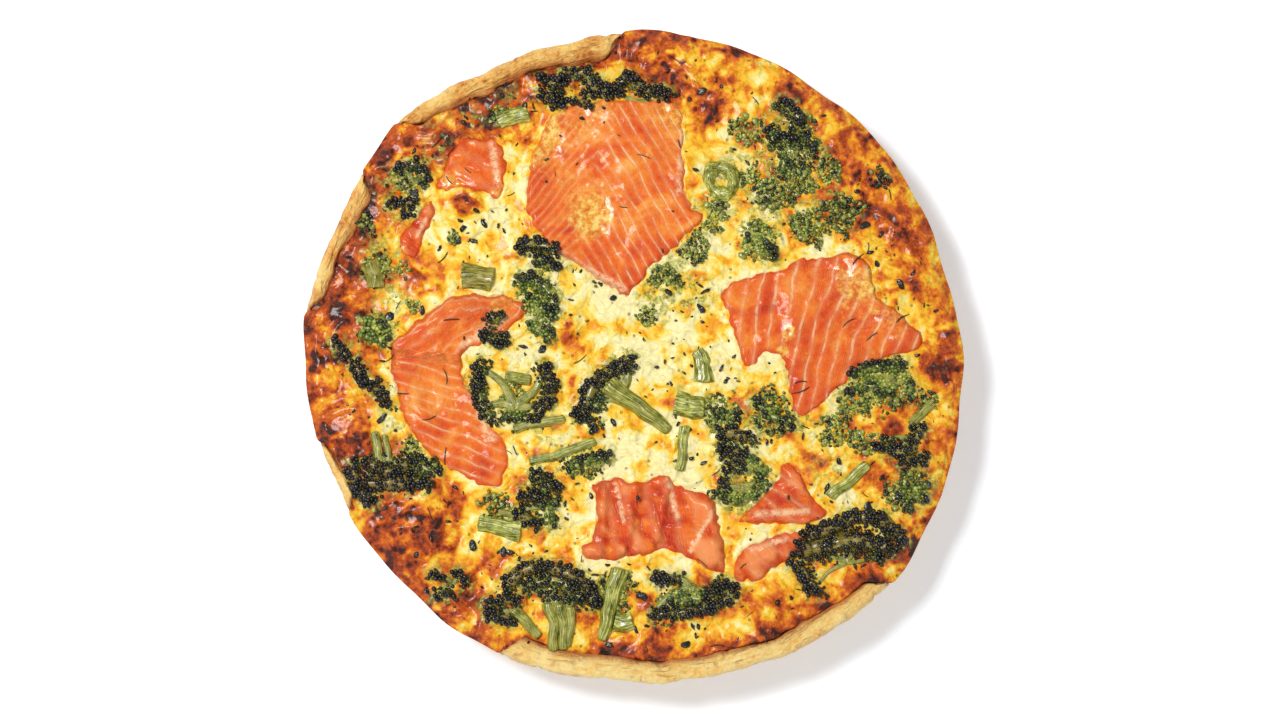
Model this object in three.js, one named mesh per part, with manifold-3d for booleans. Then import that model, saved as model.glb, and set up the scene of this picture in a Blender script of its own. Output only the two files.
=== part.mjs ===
// A whole round salmon and broccoli quiche without its tin: a rustic shortcrust case, a baked
// egg filling that has run over the rim along half of its edge, folded slices of salmon, broccoli
// florets, and cut stalks and leek. Millimetres, +Z up, +Y away from the viewer, the middle of
// the flat underside at the origin.

import * as THREE from 'three';
import { mergeVertices } from 'three/addons/utils/BufferGeometryUtils.js';
import Module from 'manifold-3d';

const wasm = await Module();
wasm.setup();

// Sizes of the case and the filling
const RIM_RADIUS = 118.3;
const BASE_RADIUS = 106;
const RIM_HEIGHT = 35;
const CASE_FLOOR = 5;
const CASE_WALL = 6;
const RIM_CRAG = 0.7;
const FILLING_HEIGHT = 33;
const SPILL_THICKNESS = 5;
const SPILL_OVERHANG = 0.4;
const EDGE_ROUNDING = 4.5;
const SPILL_DROP = 2.1;
const RIM_DROP = 0.7;
const GAP = 0.3;
const SECTORS = 64;

// Sizes of what lies on the filling
const SLICE_THICKNESS = 2.4;
const SLICE_EDGE = 3.5;
const SLICE_GRID = 9;
const SLICE_OUTLINE_STEP = 4.4;
const LOBE_ROUGHNESS = 0.16;
const FINE_LOBE_RISE = 6.1;
const STEM_TAPER = 0.85;
const STEM_LIFT = 1;
const STALK_SIDES = 6;
const STALK_RING_SPACING = 7;
const FLECK_COUNT = 26;
const FLECK_LENGTH = 2.6;
const FLECK_WIDTH = 1.3;
const FLECK_RISE = 0.9;
const FLECK_CLEARANCE = 1.8;
const FLECK_SPACING = 9;
const FLECK_MARGIN = 14;

const DEG = Math.PI / 180;

// Bulges of the outline, by the angle they point to
const BULGES = [
  { at: -42, spread: 22, out: 4.5 },
  { at: 18, spread: 13, out: -2.0 },
  { at: 82, spread: 18, out: 1.3 },
  { at: 92, spread: 5, out: 0.7 },
  { at: 135, spread: 12, out: 3.8 },
  { at: 172, spread: 14, out: 1.7 },
  { at: 225, spread: 24, out: -2.0 },
  { at: 262, spread: 8, out: -1.0 },
];

// Stretches where the bare pastry rim shows, with its width at either end
const BARE_RIM = [
  { from: 91.5, to: 136, startWidth: 9.5, endWidth: 7.0 },
  { from: 145, to: 173, startWidth: 8.0, endWidth: 5.0 },
  { from: 194, to: 209, startWidth: 4.0, endWidth: 5.0 },
  { from: 245, to: 319, startWidth: 9.5, endWidth: 7.0 },
];

// The loose flake that peels off the front wall
const FLAKE = { at: 272, spread: 9, depth: 2.6 };

// Puffed and sunken places of the filling: centre, spread and rise
const SWELLS = [
  { x: -79, y: -62, spread: 13, rise: 3.4 },
  { x: -60, y: 55, spread: 8, rise: 1.8 },
  { x: -23, y: 12, spread: 5.5, rise: 2.0 },
  { x: 103, y: 29, spread: 8, rise: 1.4 },
  { x: 28, y: 90, spread: 10, rise: -0.9 },
  { x: 8, y: 6, spread: 20, rise: -1.4 },
  { x: 33, y: 74, spread: 12, rise: -1.1 },
  { x: 82, y: -50, spread: 11, rise: -1.2 },
  { x: 64, y: -34, spread: 12, rise: -0.8 },
  { x: -66, y: -62, spread: 6, rise: -0.8 },
  { x: 2, y: -104, spread: 11, rise: 1.2 },
  { x: 46, y: -98, spread: 12, rise: 1.3 },
  { x: 78, y: -84, spread: 10, rise: 1.4 },
  { x: -98, y: 38, spread: 9, rise: 1.2 },
  { x: -10, y: -93, spread: 10, rise: -0.9 },
  { x: -58, y: -100, spread: 10, rise: 1.0 },
  { x: 85, y: 65, spread: 14, rise: -0.9 },
];

const bell = (distance, spread) => Math.exp(-((distance / spread) ** 2));
const between = (value, low, high) => Math.min(high, Math.max(low, value));
const ease = (t) => t * t * (3 - 2 * t);
const angleFrom = (deg, from) => ((((deg - from + 180) % 360) + 360) % 360) - 180;

// A smooth unevenness between -1 and 1 from a few crossed waves
function unevenness(x, y, z, size) {
  const a = Math.sin(x / size + 1.7 * Math.sin(y / size + 0.4) + 0.9 * z);
  const b = Math.sin(y / size * 1.3 - 1.2 * Math.sin(x / size * 0.8 + 2.1) + z);
  return (a + b) / 2;
}

// Distance across the outline from the middle to the rim, with its bulges and small crags
function rimRadius(deg) {
  const bulges = BULGES.reduce((sum, b) => sum + b.out * bell(angleFrom(deg, b.at), b.spread), 0);
  const crags = 0.35 * Math.sin(deg * DEG * 17 + 1) + 0.25 * Math.sin(deg * DEG * 29 + 2);
  return RIM_RADIUS + bulges + crags;
}

// How much of the rim's top is bare pastry at this angle
function bareWidth(deg) {
  let width = 0;
  for (const arc of BARE_RIM) {
    const along = (((deg - arc.from) % 360) + 360) % 360;
    const length = arc.to - arc.from;
    if (along > length) continue;
    const ends = ease(between(Math.min(along, length - along) / 4, 0, 1));
    width = ends * THREE.MathUtils.lerp(arc.startWidth, arc.endWidth, along / length);
  }
  return width;
}

// The filling's edge: at the bare rim's inner side, else just past the rim
function fillingEdge(deg) {
  const bare = bareWidth(deg);
  const over = SPILL_OVERHANG * (1 - between(bare, 0, 1));
  return rimRadius(deg) + over - bare;
}

// Height of the filling away from its edge
function fillingHeight(x, y) {
  const swellAt = (s) => s.rise * bell(Math.hypot(x - s.x, y - s.y), s.spread);
  const swells = SWELLS.reduce((sum, s) => sum + swellAt(s), 0);
  return FILLING_HEIGHT + swells + 0.55 * unevenness(x, y, 0, 11) + 0.25 * unevenness(y, x, 2, 5);
}

// Underside of the lip where the filling has run over the rim
const SPILL_FLOOR = RIM_HEIGHT - SPILL_THICKNESS - 0.6;

function ringPoint(radius, sector, count, z) {
  const turn = (sector / count) * 2 * Math.PI;
  return [radius * Math.cos(turn), radius * Math.sin(turn), z];
}

// A closed solid from rings of points, first and last ring closed by a middle point. Each ring
// has as many points as the one before, or half as many.
function stackRings(rings) {
  const points = [];
  const faces = [];
  const starts = rings.map((ring) => {
    const start = points.length;
    points.push(...ring);
    return start;
  });
  for (let j = 0; j + 1 < rings.length; j += 1) {
    const low = rings[j].length;
    const high = rings[j + 1].length;
    for (let i = 0; i < high || (high === 1 && i < low); i += 1) {
      if (low === 1) {
        faces.push([starts[j], starts[j + 1] + ((i + 1) % high), starts[j + 1] + i]);
      } else if (high === 1) {
        faces.push([starts[j] + i, starts[j] + ((i + 1) % low), starts[j + 1]]);
      } else if (low === high) {
        const a = starts[j] + i;
        const b = starts[j] + ((i + 1) % low);
        const c = starts[j + 1] + ((i + 1) % high);
        const d = starts[j + 1] + i;
        faces.push([a, b, c], [a, c, d]);
      } else {
        const a = starts[j] + 2 * i;
        const b = a + 1;
        const c = starts[j] + ((2 * i + 2) % low);
        const d = starts[j + 1] + ((i + 1) % high);
        const e = starts[j + 1] + i;
        faces.push([a, b, e], [b, c, d], [b, d, e]);
      }
    }
  }
  return solidOf(points, faces);
}

function solidOf(points, faces) {
  return new wasm.Manifold(new wasm.Mesh({
    numProp: 3,
    vertProperties: Float32Array.from(points.flat()),
    triVerts: Uint32Array.from(faces.flat()),
  }));
}

function solidOfGeometry(geometry) {
  geometry.deleteAttribute('normal');
  geometry.deleteAttribute('uv');
  const merged = mergeVertices(geometry, 1e-4);
  return new wasm.Manifold(new wasm.Mesh({
    numProp: 3,
    vertProperties: Float32Array.from(merged.attributes.position.array),
    triVerts: Uint32Array.from(merged.index.array),
  }));
}

// The biggest body that is left after a cut, without loose scraps
function largestBody(solid) {
  return solid.decompose().reduce((best, body) => (body.volume() > best.volume() ? body : best));
}

function meshOf(name, solid, colour, roughness) {
  const cut = solid.getMesh();
  const geometry = new THREE.BufferGeometry();
  geometry.setAttribute('position', new THREE.BufferAttribute(cut.vertProperties, 3));
  geometry.setIndex(new THREE.BufferAttribute(cut.triVerts, 1));
  geometry.computeVertexNormals();
  const material = new THREE.MeshStandardMaterial({ color: colour, roughness, metalness: 0 });
  const mesh = new THREE.Mesh(geometry, material);
  mesh.name = name;
  return mesh;
}

// The baked filling, with a wall inside the case and a lip over the rim where it has spilled
function fillingSolid(grow, headroom) {
  const rings = [];
  const wallTop = (deg) => Math.min(rimRadius(deg) - CASE_WALL, fillingEdge(deg) - 0.6);
  const ring = (count, radiusAt, heightAt) => Array.from({ length: count }, (_, i) => {
    const deg = (i / count) * 360;
    const [x, y] = ringPoint(radiusAt(deg), i, count, 0);
    return [x, y, heightAt(x, y, deg)];
  });
  rings.push([[0, 0, CASE_FLOOR - grow]]);
  rings.push(ring(SECTORS, () => BASE_RADIUS - CASE_WALL - 2 + grow, () => CASE_FLOOR - grow));
  rings.push(ring(SECTORS, (deg) => wallTop(deg) + grow, () => SPILL_FLOOR - grow));
  rings.push(ring(SECTORS, (deg) => fillingEdge(deg) + grow, () => SPILL_FLOOR - grow));
  const inward = [0, 1.5, 4.5, 10, 17, 25, 33, 41, 49, 57];
  const drop = (deg, distance) => {
    const depth = THREE.MathUtils.lerp(SPILL_DROP, RIM_DROP, between(bareWidth(deg), 0, 1));
    return depth * (1 - ease(between(distance / EDGE_ROUNDING, 0, 1)));
  };
  for (const step of inward) {
    rings.push(ring(SECTORS, (deg) => fillingEdge(deg) + grow - step,
      (x, y, deg) => fillingHeight(x, y) - drop(deg, step) + headroom));
  }
  const edgeAt = (deg, part) => fillingEdge(deg) * part;
  for (const part of [0.44, 0.35, 0.26]) {
    rings.push(ring(SECTORS / 2, (deg) => edgeAt(deg, part), (x, y) => fillingHeight(x, y) + headroom));
  }
  for (const part of [0.17, 0.08]) {
    rings.push(ring(SECTORS / 4, (deg) => edgeAt(deg, part), (x, y) => fillingHeight(x, y) + headroom));
  }
  rings.push([[0, 0, fillingHeight(0, 0) + headroom]]);
  return stackRings(rings);
}

// The pastry case: a flat foot, a wall that leans out and turns upright, and a cragged rim
function caseSolid() {
  const ring = (radiusAt, heightAt) => Array.from({ length: SECTORS }, (_, i) => {
    const deg = (i / SECTORS) * 360;
    return ringPoint(radiusAt(deg), i, SECTORS, heightAt(deg));
  });
  const lean = (deg, part) => THREE.MathUtils.lerp(BASE_RADIUS, rimRadius(deg), part);
  const crag = (deg, shift) => RIM_CRAG * unevenness(deg * 0.7, shift * 3, shift, 1.6);
  const groove = (deg) => FLAKE.depth * bell(angleFrom(deg, FLAKE.at), FLAKE.spread);
  const crest = (deg) => RIM_HEIGHT + 0.5 * Math.sin(deg * DEG * 7) + crag(deg, 0.5);
  const rings = [
    [[0, 0, 0]],
    ring(() => BASE_RADIUS - 2, () => 0),
    ring((deg) => lean(deg, 0.08) + crag(deg, 1), () => 1.6),
    ring((deg) => lean(deg, 0.45) + crag(deg, 2), () => 9),
    ring((deg) => lean(deg, 0.78) + crag(deg, 3), () => 18),
    ring((deg) => lean(deg, 0.93) + crag(deg, 4) - 0.5 * groove(deg), () => 26),
    ring((deg) => lean(deg, 0.985) - groove(deg), (deg) => 29.6 + 0.4 * crag(deg, 5)),
    ring((deg) => rimRadius(deg) - 0.4, (deg) => RIM_HEIGHT - 2.6 + 0.5 * crag(deg, 6)),
    ring((deg) => rimRadius(deg) - 1.7, (deg) => crest(deg) - 0.4),
    ring((deg) => rimRadius(deg) - 3.6, (deg) => crest(deg) + crag(deg, 7)),
    ring((deg) => rimRadius(deg) - 6.2, (deg) => crest(deg) - 0.3 + crag(deg, 8)),
    ring((deg) => rimRadius(deg) - 11, () => RIM_HEIGHT - 1),
    [[0, 0, RIM_HEIGHT - 1]],
  ];
  return stackRings(rings);
}

// Slices of salmon: an outline on the filling and the folds that stand up in it
const SLICES = [
  {
    name: 'salmon_top_centre',
    colour: 0xe88a45,
    outline: [
      [-33, 85], [-25, 92], [-12, 94.5], [3, 95], [16, 93], [18, 74], [19, 58], [25, 51], [19, 44],
      [8, 34], [0, 25], [-4, 22.5], [-18, 32], [-30, 39], [-36.5, 47], [-40, 57], [-38.5, 70],
    ],
    folds: [
      { from: [-32, 41], to: [-5, 25], spread: 4.5, rise: 1.6 },
      { from: [-35, 82], to: [-38, 58], spread: 4, rise: 1.0 },
      { from: [-10, 88], to: [6, 40], spread: 9, rise: 0.8 },
    ],
  },
  {
    name: 'salmon_right',
    colour: 0xe57b35,
    outline: [
      [31, 25], [45, 30], [62, 36], [79, 38], [85, 33], [88, 22], [98, 15], [104, 6], [99, 1.5],
      [90, -0.5], [83, -6], [71, -14], [64, -21], [58, -22], [55, -13], [54, -3], [47, 2],
      [43, -3], [39, -2], [35, 9],
    ],
    folds: [
      { from: [82, 33], to: [98, 8], spread: 7, rise: 1.7 },
      { from: [56, 30], to: [60, -10], spread: 5, rise: 0.8 },
    ],
  },
  {
    name: 'salmon_left_folded',
    colour: 0xe8873c,
    outline: [
      [-88.5, 4], [-75, 15.5], [-65, 22], [-53, 23], [-41, 21], [-37.5, 17], [-46, 9], [-55, 4.5],
      [-62, 0], [-61, -9], [-55, -18], [-51, -26], [-45.5, -34], [-46, -42], [-50, -47.5],
      [-59, -45], [-69, -39.5], [-78, -31], [-84, -21], [-87.5, -8],
    ],
    folds: [
      { from: [-85, 4], to: [-64, 19], spread: 5, rise: 2.6 },
      { from: [-62, 19], to: [-43, 18], spread: 4.5, rise: 2.0 },
      { from: [-84, -2], to: [-64, 3], spread: 3.5, rise: -1.2 },
      { from: [-83, -8], to: [-74, -31], spread: 5, rise: 1.3 },
    ],
  },
  {
    name: 'salmon_upper_left',
    colour: 0xe58d4b,
    outline: [
      [-64, 80], [-52, 80.5], [-48, 74], [-47, 65], [-50, 57.5], [-57, 61], [-65, 61], [-72, 62],
      [-69, 71],
    ],
    folds: [{ from: [-66, 76], to: [-50, 70], spread: 5, rise: 1.0 }],
  },
  {
    name: 'salmon_upper_left_tail',
    colour: 0xe58a45,
    outline: [[-74, 59], [-79, 51.5], [-86, 44], [-85, 38], [-82, 36], [-78, 39], [-75, 47], [-72.5, 54]],
    folds: [{ from: [-75, 55], to: [-82, 41], spread: 3, rise: 0.9 }],
  },
  {
    name: 'salmon_bottom_centre',
    colour: 0xdd6a30,
    outline: [
      [-16, -46], [-7, -43.5], [-1, -46], [6, -44], [13, -42], [16, -46.5], [28, -51], [30.5, -57],
      [31.5, -65], [33.5, -74], [32, -79], [23, -76], [12, -70.5], [2, -71.5], [-8, -74.5],
      [-20, -71], [-15, -64], [-14, -55],
    ],
    folds: [
      { from: [-12, -49], to: [-12, -70], spread: 3.5, rise: 1.8 },
      { from: [2, -48], to: [-3, -68], spread: 3.5, rise: 2.2 },
      { from: [12, -46], to: [14, -68], spread: 3.5, rise: 1.8 },
      { from: [26, -54], to: [29, -74], spread: 3.5, rise: 2.0 },
    ],
  },
  {
    name: 'salmon_lower_right',
    colour: 0xdd6c33,
    outline: [
      [55, -37.5], [60, -43], [65, -51], [69.5, -56], [67.5, -60], [59, -60.8], [48, -60.3],
      [38, -60], [40, -56.5], [45.5, -50], [51, -43],
    ],
    folds: [
      { from: [47, -54], to: [62, -46], spread: 4, rise: 1.8 },
      { from: [42, -58], to: [66, -57], spread: 3, rise: 1.2 },
    ],
  },
  {
    name: 'salmon_lower_right_fold',
    colour: 0xdb6730,
    outline: [
      [36.5, -81], [36, -75], [39, -69.5], [45, -66], [52, -64], [59, -63], [63, -65.5],
      [62, -70], [56, -74], [49, -77.5], [43, -81.5],
    ],
    folds: [{ from: [40, -76], to: [58, -67], spread: 4, rise: 2.0 }],
  },
];

function outlinePoints(outline, grow) {
  const curve = new THREE.CatmullRomCurve3(outline.map(([x, y]) => new THREE.Vector3(x, y, 0)), true);
  const count = Math.round(curve.getLength() / SLICE_OUTLINE_STEP);
  const points = curve.getSpacedPoints(count).slice(0, count);
  const area = THREE.ShapeUtils.area(points);
  return points.map((p, i) => {
    const before = points[(i + count - 1) % count];
    const after = points[(i + 1) % count];
    const along = after.clone().sub(before).normalize();
    const out = Math.sign(area) * grow;
    return new THREE.Vector2(p.x + along.y * out, p.y - along.x * out);
  });
}

function distanceToSegment(x, y, [ax, ay], [bx, by]) {
  const dx = bx - ax;
  const dy = by - ay;
  const t = between(((x - ax) * dx + (y - ay) * dy) / (dx * dx + dy * dy), 0, 1);
  return Math.hypot(x - ax - t * dx, y - ay - t * dy);
}

function distanceToOutline(x, y, points) {
  return points.reduce((least, p, i) => {
    const q = points[(i + 1) % points.length];
    return Math.min(least, distanceToSegment(x, y, [p.x, p.y], [q.x, q.y]));
  }, Infinity);
}

function insideOutline(x, y, points) {
  let inside = false;
  points.forEach((p, i) => {
    const q = points[(i + 1) % points.length];
    const crosses = (p.y > y) !== (q.y > y);
    if (crosses && x < ((q.x - p.x) * (y - p.y)) / (q.y - p.y) + p.x) inside = !inside;
  });
  return inside;
}

// Top of a slice: its thickness, thinner towards the edge, with its folds
function sliceTop(slice, x, y) {
  const points = slice.points;
  const inward = insideOutline(x, y, points) ? distanceToOutline(x, y, points) : 0;
  const body = 0.45 + 0.55 * ease(between(inward / SLICE_EDGE, 0, 1));
  const foldAt = (f) => f.rise * bell(distanceToSegment(x, y, f.from, f.to), f.spread);
  const folds = slice.folds.reduce((sum, f) => sum + foldAt(f), 0);
  return fillingHeight(x, y) + SLICE_THICKNESS * body + folds * body;
}

// A block over the outline's box whose top follows the slice, cut to the outline
function sliceSolid(slice, grow) {
  const points = outlinePoints(slice.outline, grow);
  const box = new THREE.Box2().setFromPoints(slice.points).expandByScalar(1);
  const columns = Math.ceil((box.max.x - box.min.x) / SLICE_GRID);
  const rows = Math.ceil((box.max.y - box.min.y) / SLICE_GRID);
  const low = FILLING_HEIGHT - 8;
  const block = new THREE.BoxGeometry(box.max.x - box.min.x, box.max.y - box.min.y, 1, columns, rows, 1);
  const middle = box.getCenter(new THREE.Vector2());
  const position = block.attributes.position;
  for (let i = 0; i < position.count; i += 1) {
    const x = position.getX(i) + middle.x;
    const y = position.getY(i) + middle.y;
    position.setXYZ(i, x, y, position.getZ(i) > 0 ? sliceTop(slice, x, y) + grow : low);
  }
  const prism = new THREE.ExtrudeGeometry(new THREE.Shape(points), { depth: 30, bevelEnabled: false });
  prism.translate(0, 0, low + 1);
  return solidOfGeometry(block).intersect(solidOfGeometry(prism));
}

// Broccoli florets: lobes of buds as x, y, half length, half width, turn and rise over the
// filling, and the stems under them as start, end and half width
const FLORETS = [
  { name: 'floret_top_left', colour: 0x2c2a14, lobes: [[-29, 97, 5.6, 5.2, 0, 4.6]] },
  {
    name: 'floret_top_band',
    colour: 0x262412,
    lobes: [[-18, 99, 6.5, 4.6, 10, 4.2], [-6, 100.5, 7, 4.8, 5, 4.4], [6, 101, 6.5, 4.4, -5, 4]],
  },
  {
    name: 'floret_upper_right',
    colour: 0x5c7024,
    lobes: [[61, 84, 6.5, 5.6, 90, 5], [60, 75, 6, 6.5, 0, 4.6], [63, 67, 5, 4.2, 80, 3.4]],
  },
  { name: 'floret_under_slice', colour: 0x35401a, lobes: [[-35, 37, 6.6, 6.2, 30, 4.8]] },
  {
    name: 'floret_left_of_centre',
    colour: 0x6f8a2c,
    lobes: [[-35, 22.5, 6.4, 6.2, 60, 4.8], [-36, 12.5, 6, 5.8, 80, 4.4]],
  },
  { name: 'floret_on_fold', colour: 0x5d7a28, lobes: [[-50.5, 10, 5, 5.5, 0, 6.6]] },
  {
    name: 'floret_middle_left',
    colour: 0x59752a,
    lobes: [[-51, -13, 6.5, 8, 10, 5.4], [-37, -13.5, 7, 8, 0, 5.6]],
    stems: [[[-48, -7], [-36, -8], 3.2]],
  },
  {
    name: 'floret_centre',
    colour: 0x6a8a30,
    lobes: [[-16, -9, 6.6, 6, 40, 5.6], [-15, -19, 6.6, 6.2, 100, 5.4]],
    stems: [[[-9, -11], [12.5, -26.5], 2.3]],
  },
  {
    name: 'floret_right_of_centre',
    colour: 0x48561f,
    lobes: [[37, -31, 6.2, 6.2, 0, 5], [36, -41, 6, 5.4, 90, 4.6]],
  },
  { name: 'floret_right_lower', colour: 0x7c9238, lobes: [[37, -50.5, 8, 4.6, -10, 3.6]] },
  {
    name: 'floret_lower_right',
    colour: 0x5f782c,
    lobes: [
      [72, -66, 7.5, 6, 10, 6], [84, -65, 8, 7.2, -10, 6.2], [92.5, -66, 4.8, 5.2, 0, 4.6],
      [68, -77, 5.5, 6.5, 60, 4.2],
    ],
    stems: [[[69, -78], [65, -86], 3.2]],
  },
  {
    name: 'floret_bottom',
    colour: 0x5a722a,
    lobes: [[11, -87, 6, 6.6, 0, 5], [21, -89, 7, 7, 0, 5.8], [31, -86, 6, 6.2, 0, 5]],
  },
  {
    name: 'floret_bottom_left',
    colour: 0x3d5a24,
    lobes: [[-32, -83, 7, 7, 0, 6], [-21.5, -82, 7, 7.6, 0, 6.2]],
    stems: [[[-28, -89], [-27, -106], 3.8]],
  },
  {
    name: 'floret_bottom_left_small',
    colour: 0x6d8632,
    lobes: [[-48, -91.5, 6.2, 5.6, 0, 4.6]],
    stems: [[[-44, -91], [-34, -101], 2.4]],
  },
  {
    name: 'floret_left_dark',
    colour: 0x232313,
    lobes: [[-97, -40, 6.5, 6.2, 20, 4.6], [-87, -43, 8, 7.4, 0, 5.6], [-77, -45, 6.5, 6, -10, 4.6]],
    stems: [[[-94.5, -30], [-92, -38], 3]],
  },
  {
    name: 'floret_lower_left',
    colour: 0x3c491d,
    lobes: [[-36, -48, 7, 6.6, 30, 5.2], [-33, -57, 6.6, 7, 80, 5.2]],
  },
  {
    name: 'floret_right_edge',
    colour: 0x485a22,
    lobes: [[91, -31, 6.2, 6.5, 0, 5], [101, -32, 6.6, 6.6, 0, 5]],
  },
  { name: 'floret_upper_left', colour: 0x4b4a1e, lobes: [[-80.5, 66.5, 6, 5.2, 20, 4.6]] },
  { name: 'floret_upper_left_burnt', colour: 0x201c10, lobes: [[-84.5, 54, 6.2, 4.2, 10, 3.6]] },
  { name: 'floret_left_pale', colour: 0x8f9a48, lobes: [[-95, 10.5, 6, 5, 0, 3.8]] },
  { name: 'floret_left_burnt', colour: 0x262013, lobes: [[-102, -2, 6.2, 8, 0, 4.8]] },
  { name: 'floret_left_crumb', colour: 0x2c2717, lobes: [[-92, -13, 4.4, 4.4, 0, 3.6]] },
  {
    name: 'floret_right_green',
    colour: 0x6f8a34,
    lobes: [[84, -9.5, 6.5, 5.4, 0, 4], [94, -8, 7, 6.5, 0, 4.6]],
  },
  { name: 'floret_right_small', colour: 0x77883a, lobes: [[50, -20, 6.8, 5, 20, 4]] },
  { name: 'floret_burnt_low', colour: 0x3a2c16, lobes: [[-66.5, -82, 6.5, 6.5, 0, 4]] },
  { name: 'floret_centre_low', colour: 0x8a8a3c, lobes: [[-17.5, -38.5, 7.5, 4.4, 10, 4]] },
  { name: 'floret_upper_middle', colour: 0x88943e, lobes: [[45, 41, 6.6, 5.6, 20, 3.2]] },
  { name: 'floret_middle', colour: 0x7f8d3c, lobes: [[32, -20, 7, 5.4, 0, 3.2]] },
  {
    name: 'floret_frilly',
    colour: 0x71903a,
    lobes: [[97, -46, 5, 5.2, 0, 4], [102.5, -53, 5.6, 5, 30, 3.6]],
  },
];

// Cut stalks and leek: the line they lie on, half width at both ends and rise of their middle
const STALKS = [
  {
    name: 'stalk_bottom',
    colour: 0xc9b352,
    line: [[-5.5, -76], [-9, -90], [-12, -102]],
    ends: [3.4, 2],
    lift: 1.2,
  },
  {
    name: 'stalk_chunk',
    colour: 0xa9b057,
    line: [[14, -17], [20, -18], [25.5, -18.5]],
    ends: [4, 3.6],
    lift: 0.8,
  },
  {
    name: 'stalk_low_left',
    colour: 0xb9a650,
    line: [[-38.5, -37.5], [-26, -35], [-14, -30.5]],
    ends: [1.8, 1.6],
    lift: 1,
  },
  {
    name: 'stalk_mid_left',
    colour: 0xb09a45,
    line: [[-44, -26], [-34, -24], [-25, -22.5]],
    ends: [1.8, 1.5],
    lift: 1,
  },
  {
    name: 'stalk_centre',
    colour: 0xb5a44b,
    line: [[18, -25], [17, -33], [16.5, -41]],
    ends: [1.9, 1.7],
    lift: 1,
  },
  {
    name: 'stalk_wedge',
    colour: 0xb4b45e,
    line: [[22.5, 3], [24, -3], [25, -9]],
    ends: [2.2, 4],
    lift: 0.6,
  },
  {
    name: 'stalk_right',
    colour: 0x93a04a,
    line: [[69.5, -51], [77, -45], [84, -38.5]],
    ends: [1.8, 1.6],
    lift: 1,
  },
  {
    name: 'stalk_right_edge',
    colour: 0x8d9440,
    line: [[107, -16.5], [103, -21], [99.5, -24.5]],
    ends: [1.7, 1.7],
    lift: 1,
  },
  {
    name: 'leek_bulb',
    colour: 0xd8cf8a,
    line: [[-7.5, -95], [-4, -95.5], [-0.5, -95]],
    ends: [3.6, 3.4],
    lift: 0.4,
  },
  {
    name: 'leek_box',
    colour: 0xb08a3c,
    line: [[-62.5, 29.5], [-57, 29.5], [-51, 28]],
    ends: [4.8, 4.2],
    lift: 0.4,
  },
  {
    name: 'leek_leafy',
    colour: 0xa2a552,
    line: [[-50.5, 86], [-45, 88], [-39, 90]],
    ends: [3, 3.6],
    lift: 0.2,
  },
  {
    name: 'leek_folded',
    colour: 0xa98a44,
    line: [[-96, 34], [-94.5, 29], [-94, 25]],
    ends: [3.2, 2.8],
    lift: 0.4,
  },
  {
    name: 'leek_stems',
    colour: 0xb7b266,
    line: [[-56, -60], [-45, -62.5], [-41, -63]],
    ends: [3.2, 3.6],
    lift: 0.2,
  },
];

// The ring cut from a leek, open in its middle
const LEEK_RING = {
  name: 'leek_ring',
  colour: 0xb4bd63,
  x: 31.3,
  y: 64.5,
  radius: 4.2,
  tube: 1.9,
  stretch: 1.28,
  turn: 15,
};

function lobeSolid([x, y, halfLength, halfWidth, turnDeg, rise], grow) {
  const detail = rise > FINE_LOBE_RISE ? 2 : 1;
  const geometry = new THREE.IcosahedronGeometry(1, detail);
  const position = geometry.attributes.position;
  const point = new THREE.Vector3();
  for (let i = 0; i < position.count; i += 1) {
    point.fromBufferAttribute(position, i);
    const rough = unevenness(point.x * 3 + x, point.y * 3 + y, point.z * 3, 0.7);
    point.multiplyScalar(1 + LOBE_ROUGHNESS * rough);
    point.multiply(new THREE.Vector3(halfLength + grow, halfWidth + grow, rise + grow));
    position.setXYZ(i, point.x, point.y, point.z);
  }
  geometry.rotateZ(turnDeg * DEG);
  geometry.translate(x, y, fillingHeight(x, y));
  return solidOfGeometry(geometry);
}

// A tapered round stem along a curve, with both ends closed
function stemSolid(line, startWidth, endWidth, lift, grow) {
  const onFilling = ([x, y]) => new THREE.Vector3(x, y, fillingHeight(x, y) + lift);
  const curve = new THREE.CatmullRomCurve3(line.map(onFilling));
  const steps = Math.max(2, Math.round(curve.getLength() / STALK_RING_SPACING));
  const rings = [];
  for (let j = 0; j <= steps; j += 1) {
    const at = curve.getPointAt(j / steps);
    const along = curve.getTangentAt(j / steps);
    const side = new THREE.Vector3(-along.y, along.x, 0).normalize();
    const up = new THREE.Vector3().crossVectors(along, side);
    const half = THREE.MathUtils.lerp(startWidth, endWidth, j / steps) + grow;
    const ends = (j === 0 ? -grow : 0) + (j === steps ? grow : 0);
    const uneven = 1 + 0.08 * unevenness(at.x, at.y, j, 1.3);
    rings.push(Array.from({ length: STALK_SIDES }, (_, k) => {
      const turn = (k / STALK_SIDES) * 2 * Math.PI;
      return at.clone()
        .addScaledVector(along, ends)
        .addScaledVector(side, Math.cos(turn) * half * uneven)
        .addScaledVector(up, Math.sin(turn) * half * uneven)
        .toArray();
    }));
  }
  const meanOf = (ring, axis) => ring.reduce((sum, p) => sum + p[axis], 0) / ring.length;
  const middleOf = (ring) => [0, 1, 2].map((axis) => meanOf(ring, axis));
  return stackRings([[middleOf(rings[0])], ...rings, [middleOf(rings[steps])]]);
}

function floretSolid(floret, grow) {
  const lobes = floret.lobes.map((lobe) => lobeSolid(lobe, grow));
  const stems = (floret.stems ?? []).map(([from, to, half]) => (
    stemSolid([from, to], half, half * STEM_TAPER, STEM_LIFT, grow)));
  return [...lobes, ...stems].reduce((sum, solid) => sum.add(solid));
}

const stalkSolid = (stalk, grow) => stemSolid(stalk.line, stalk.ends[0], stalk.ends[1], stalk.lift, grow);

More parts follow.
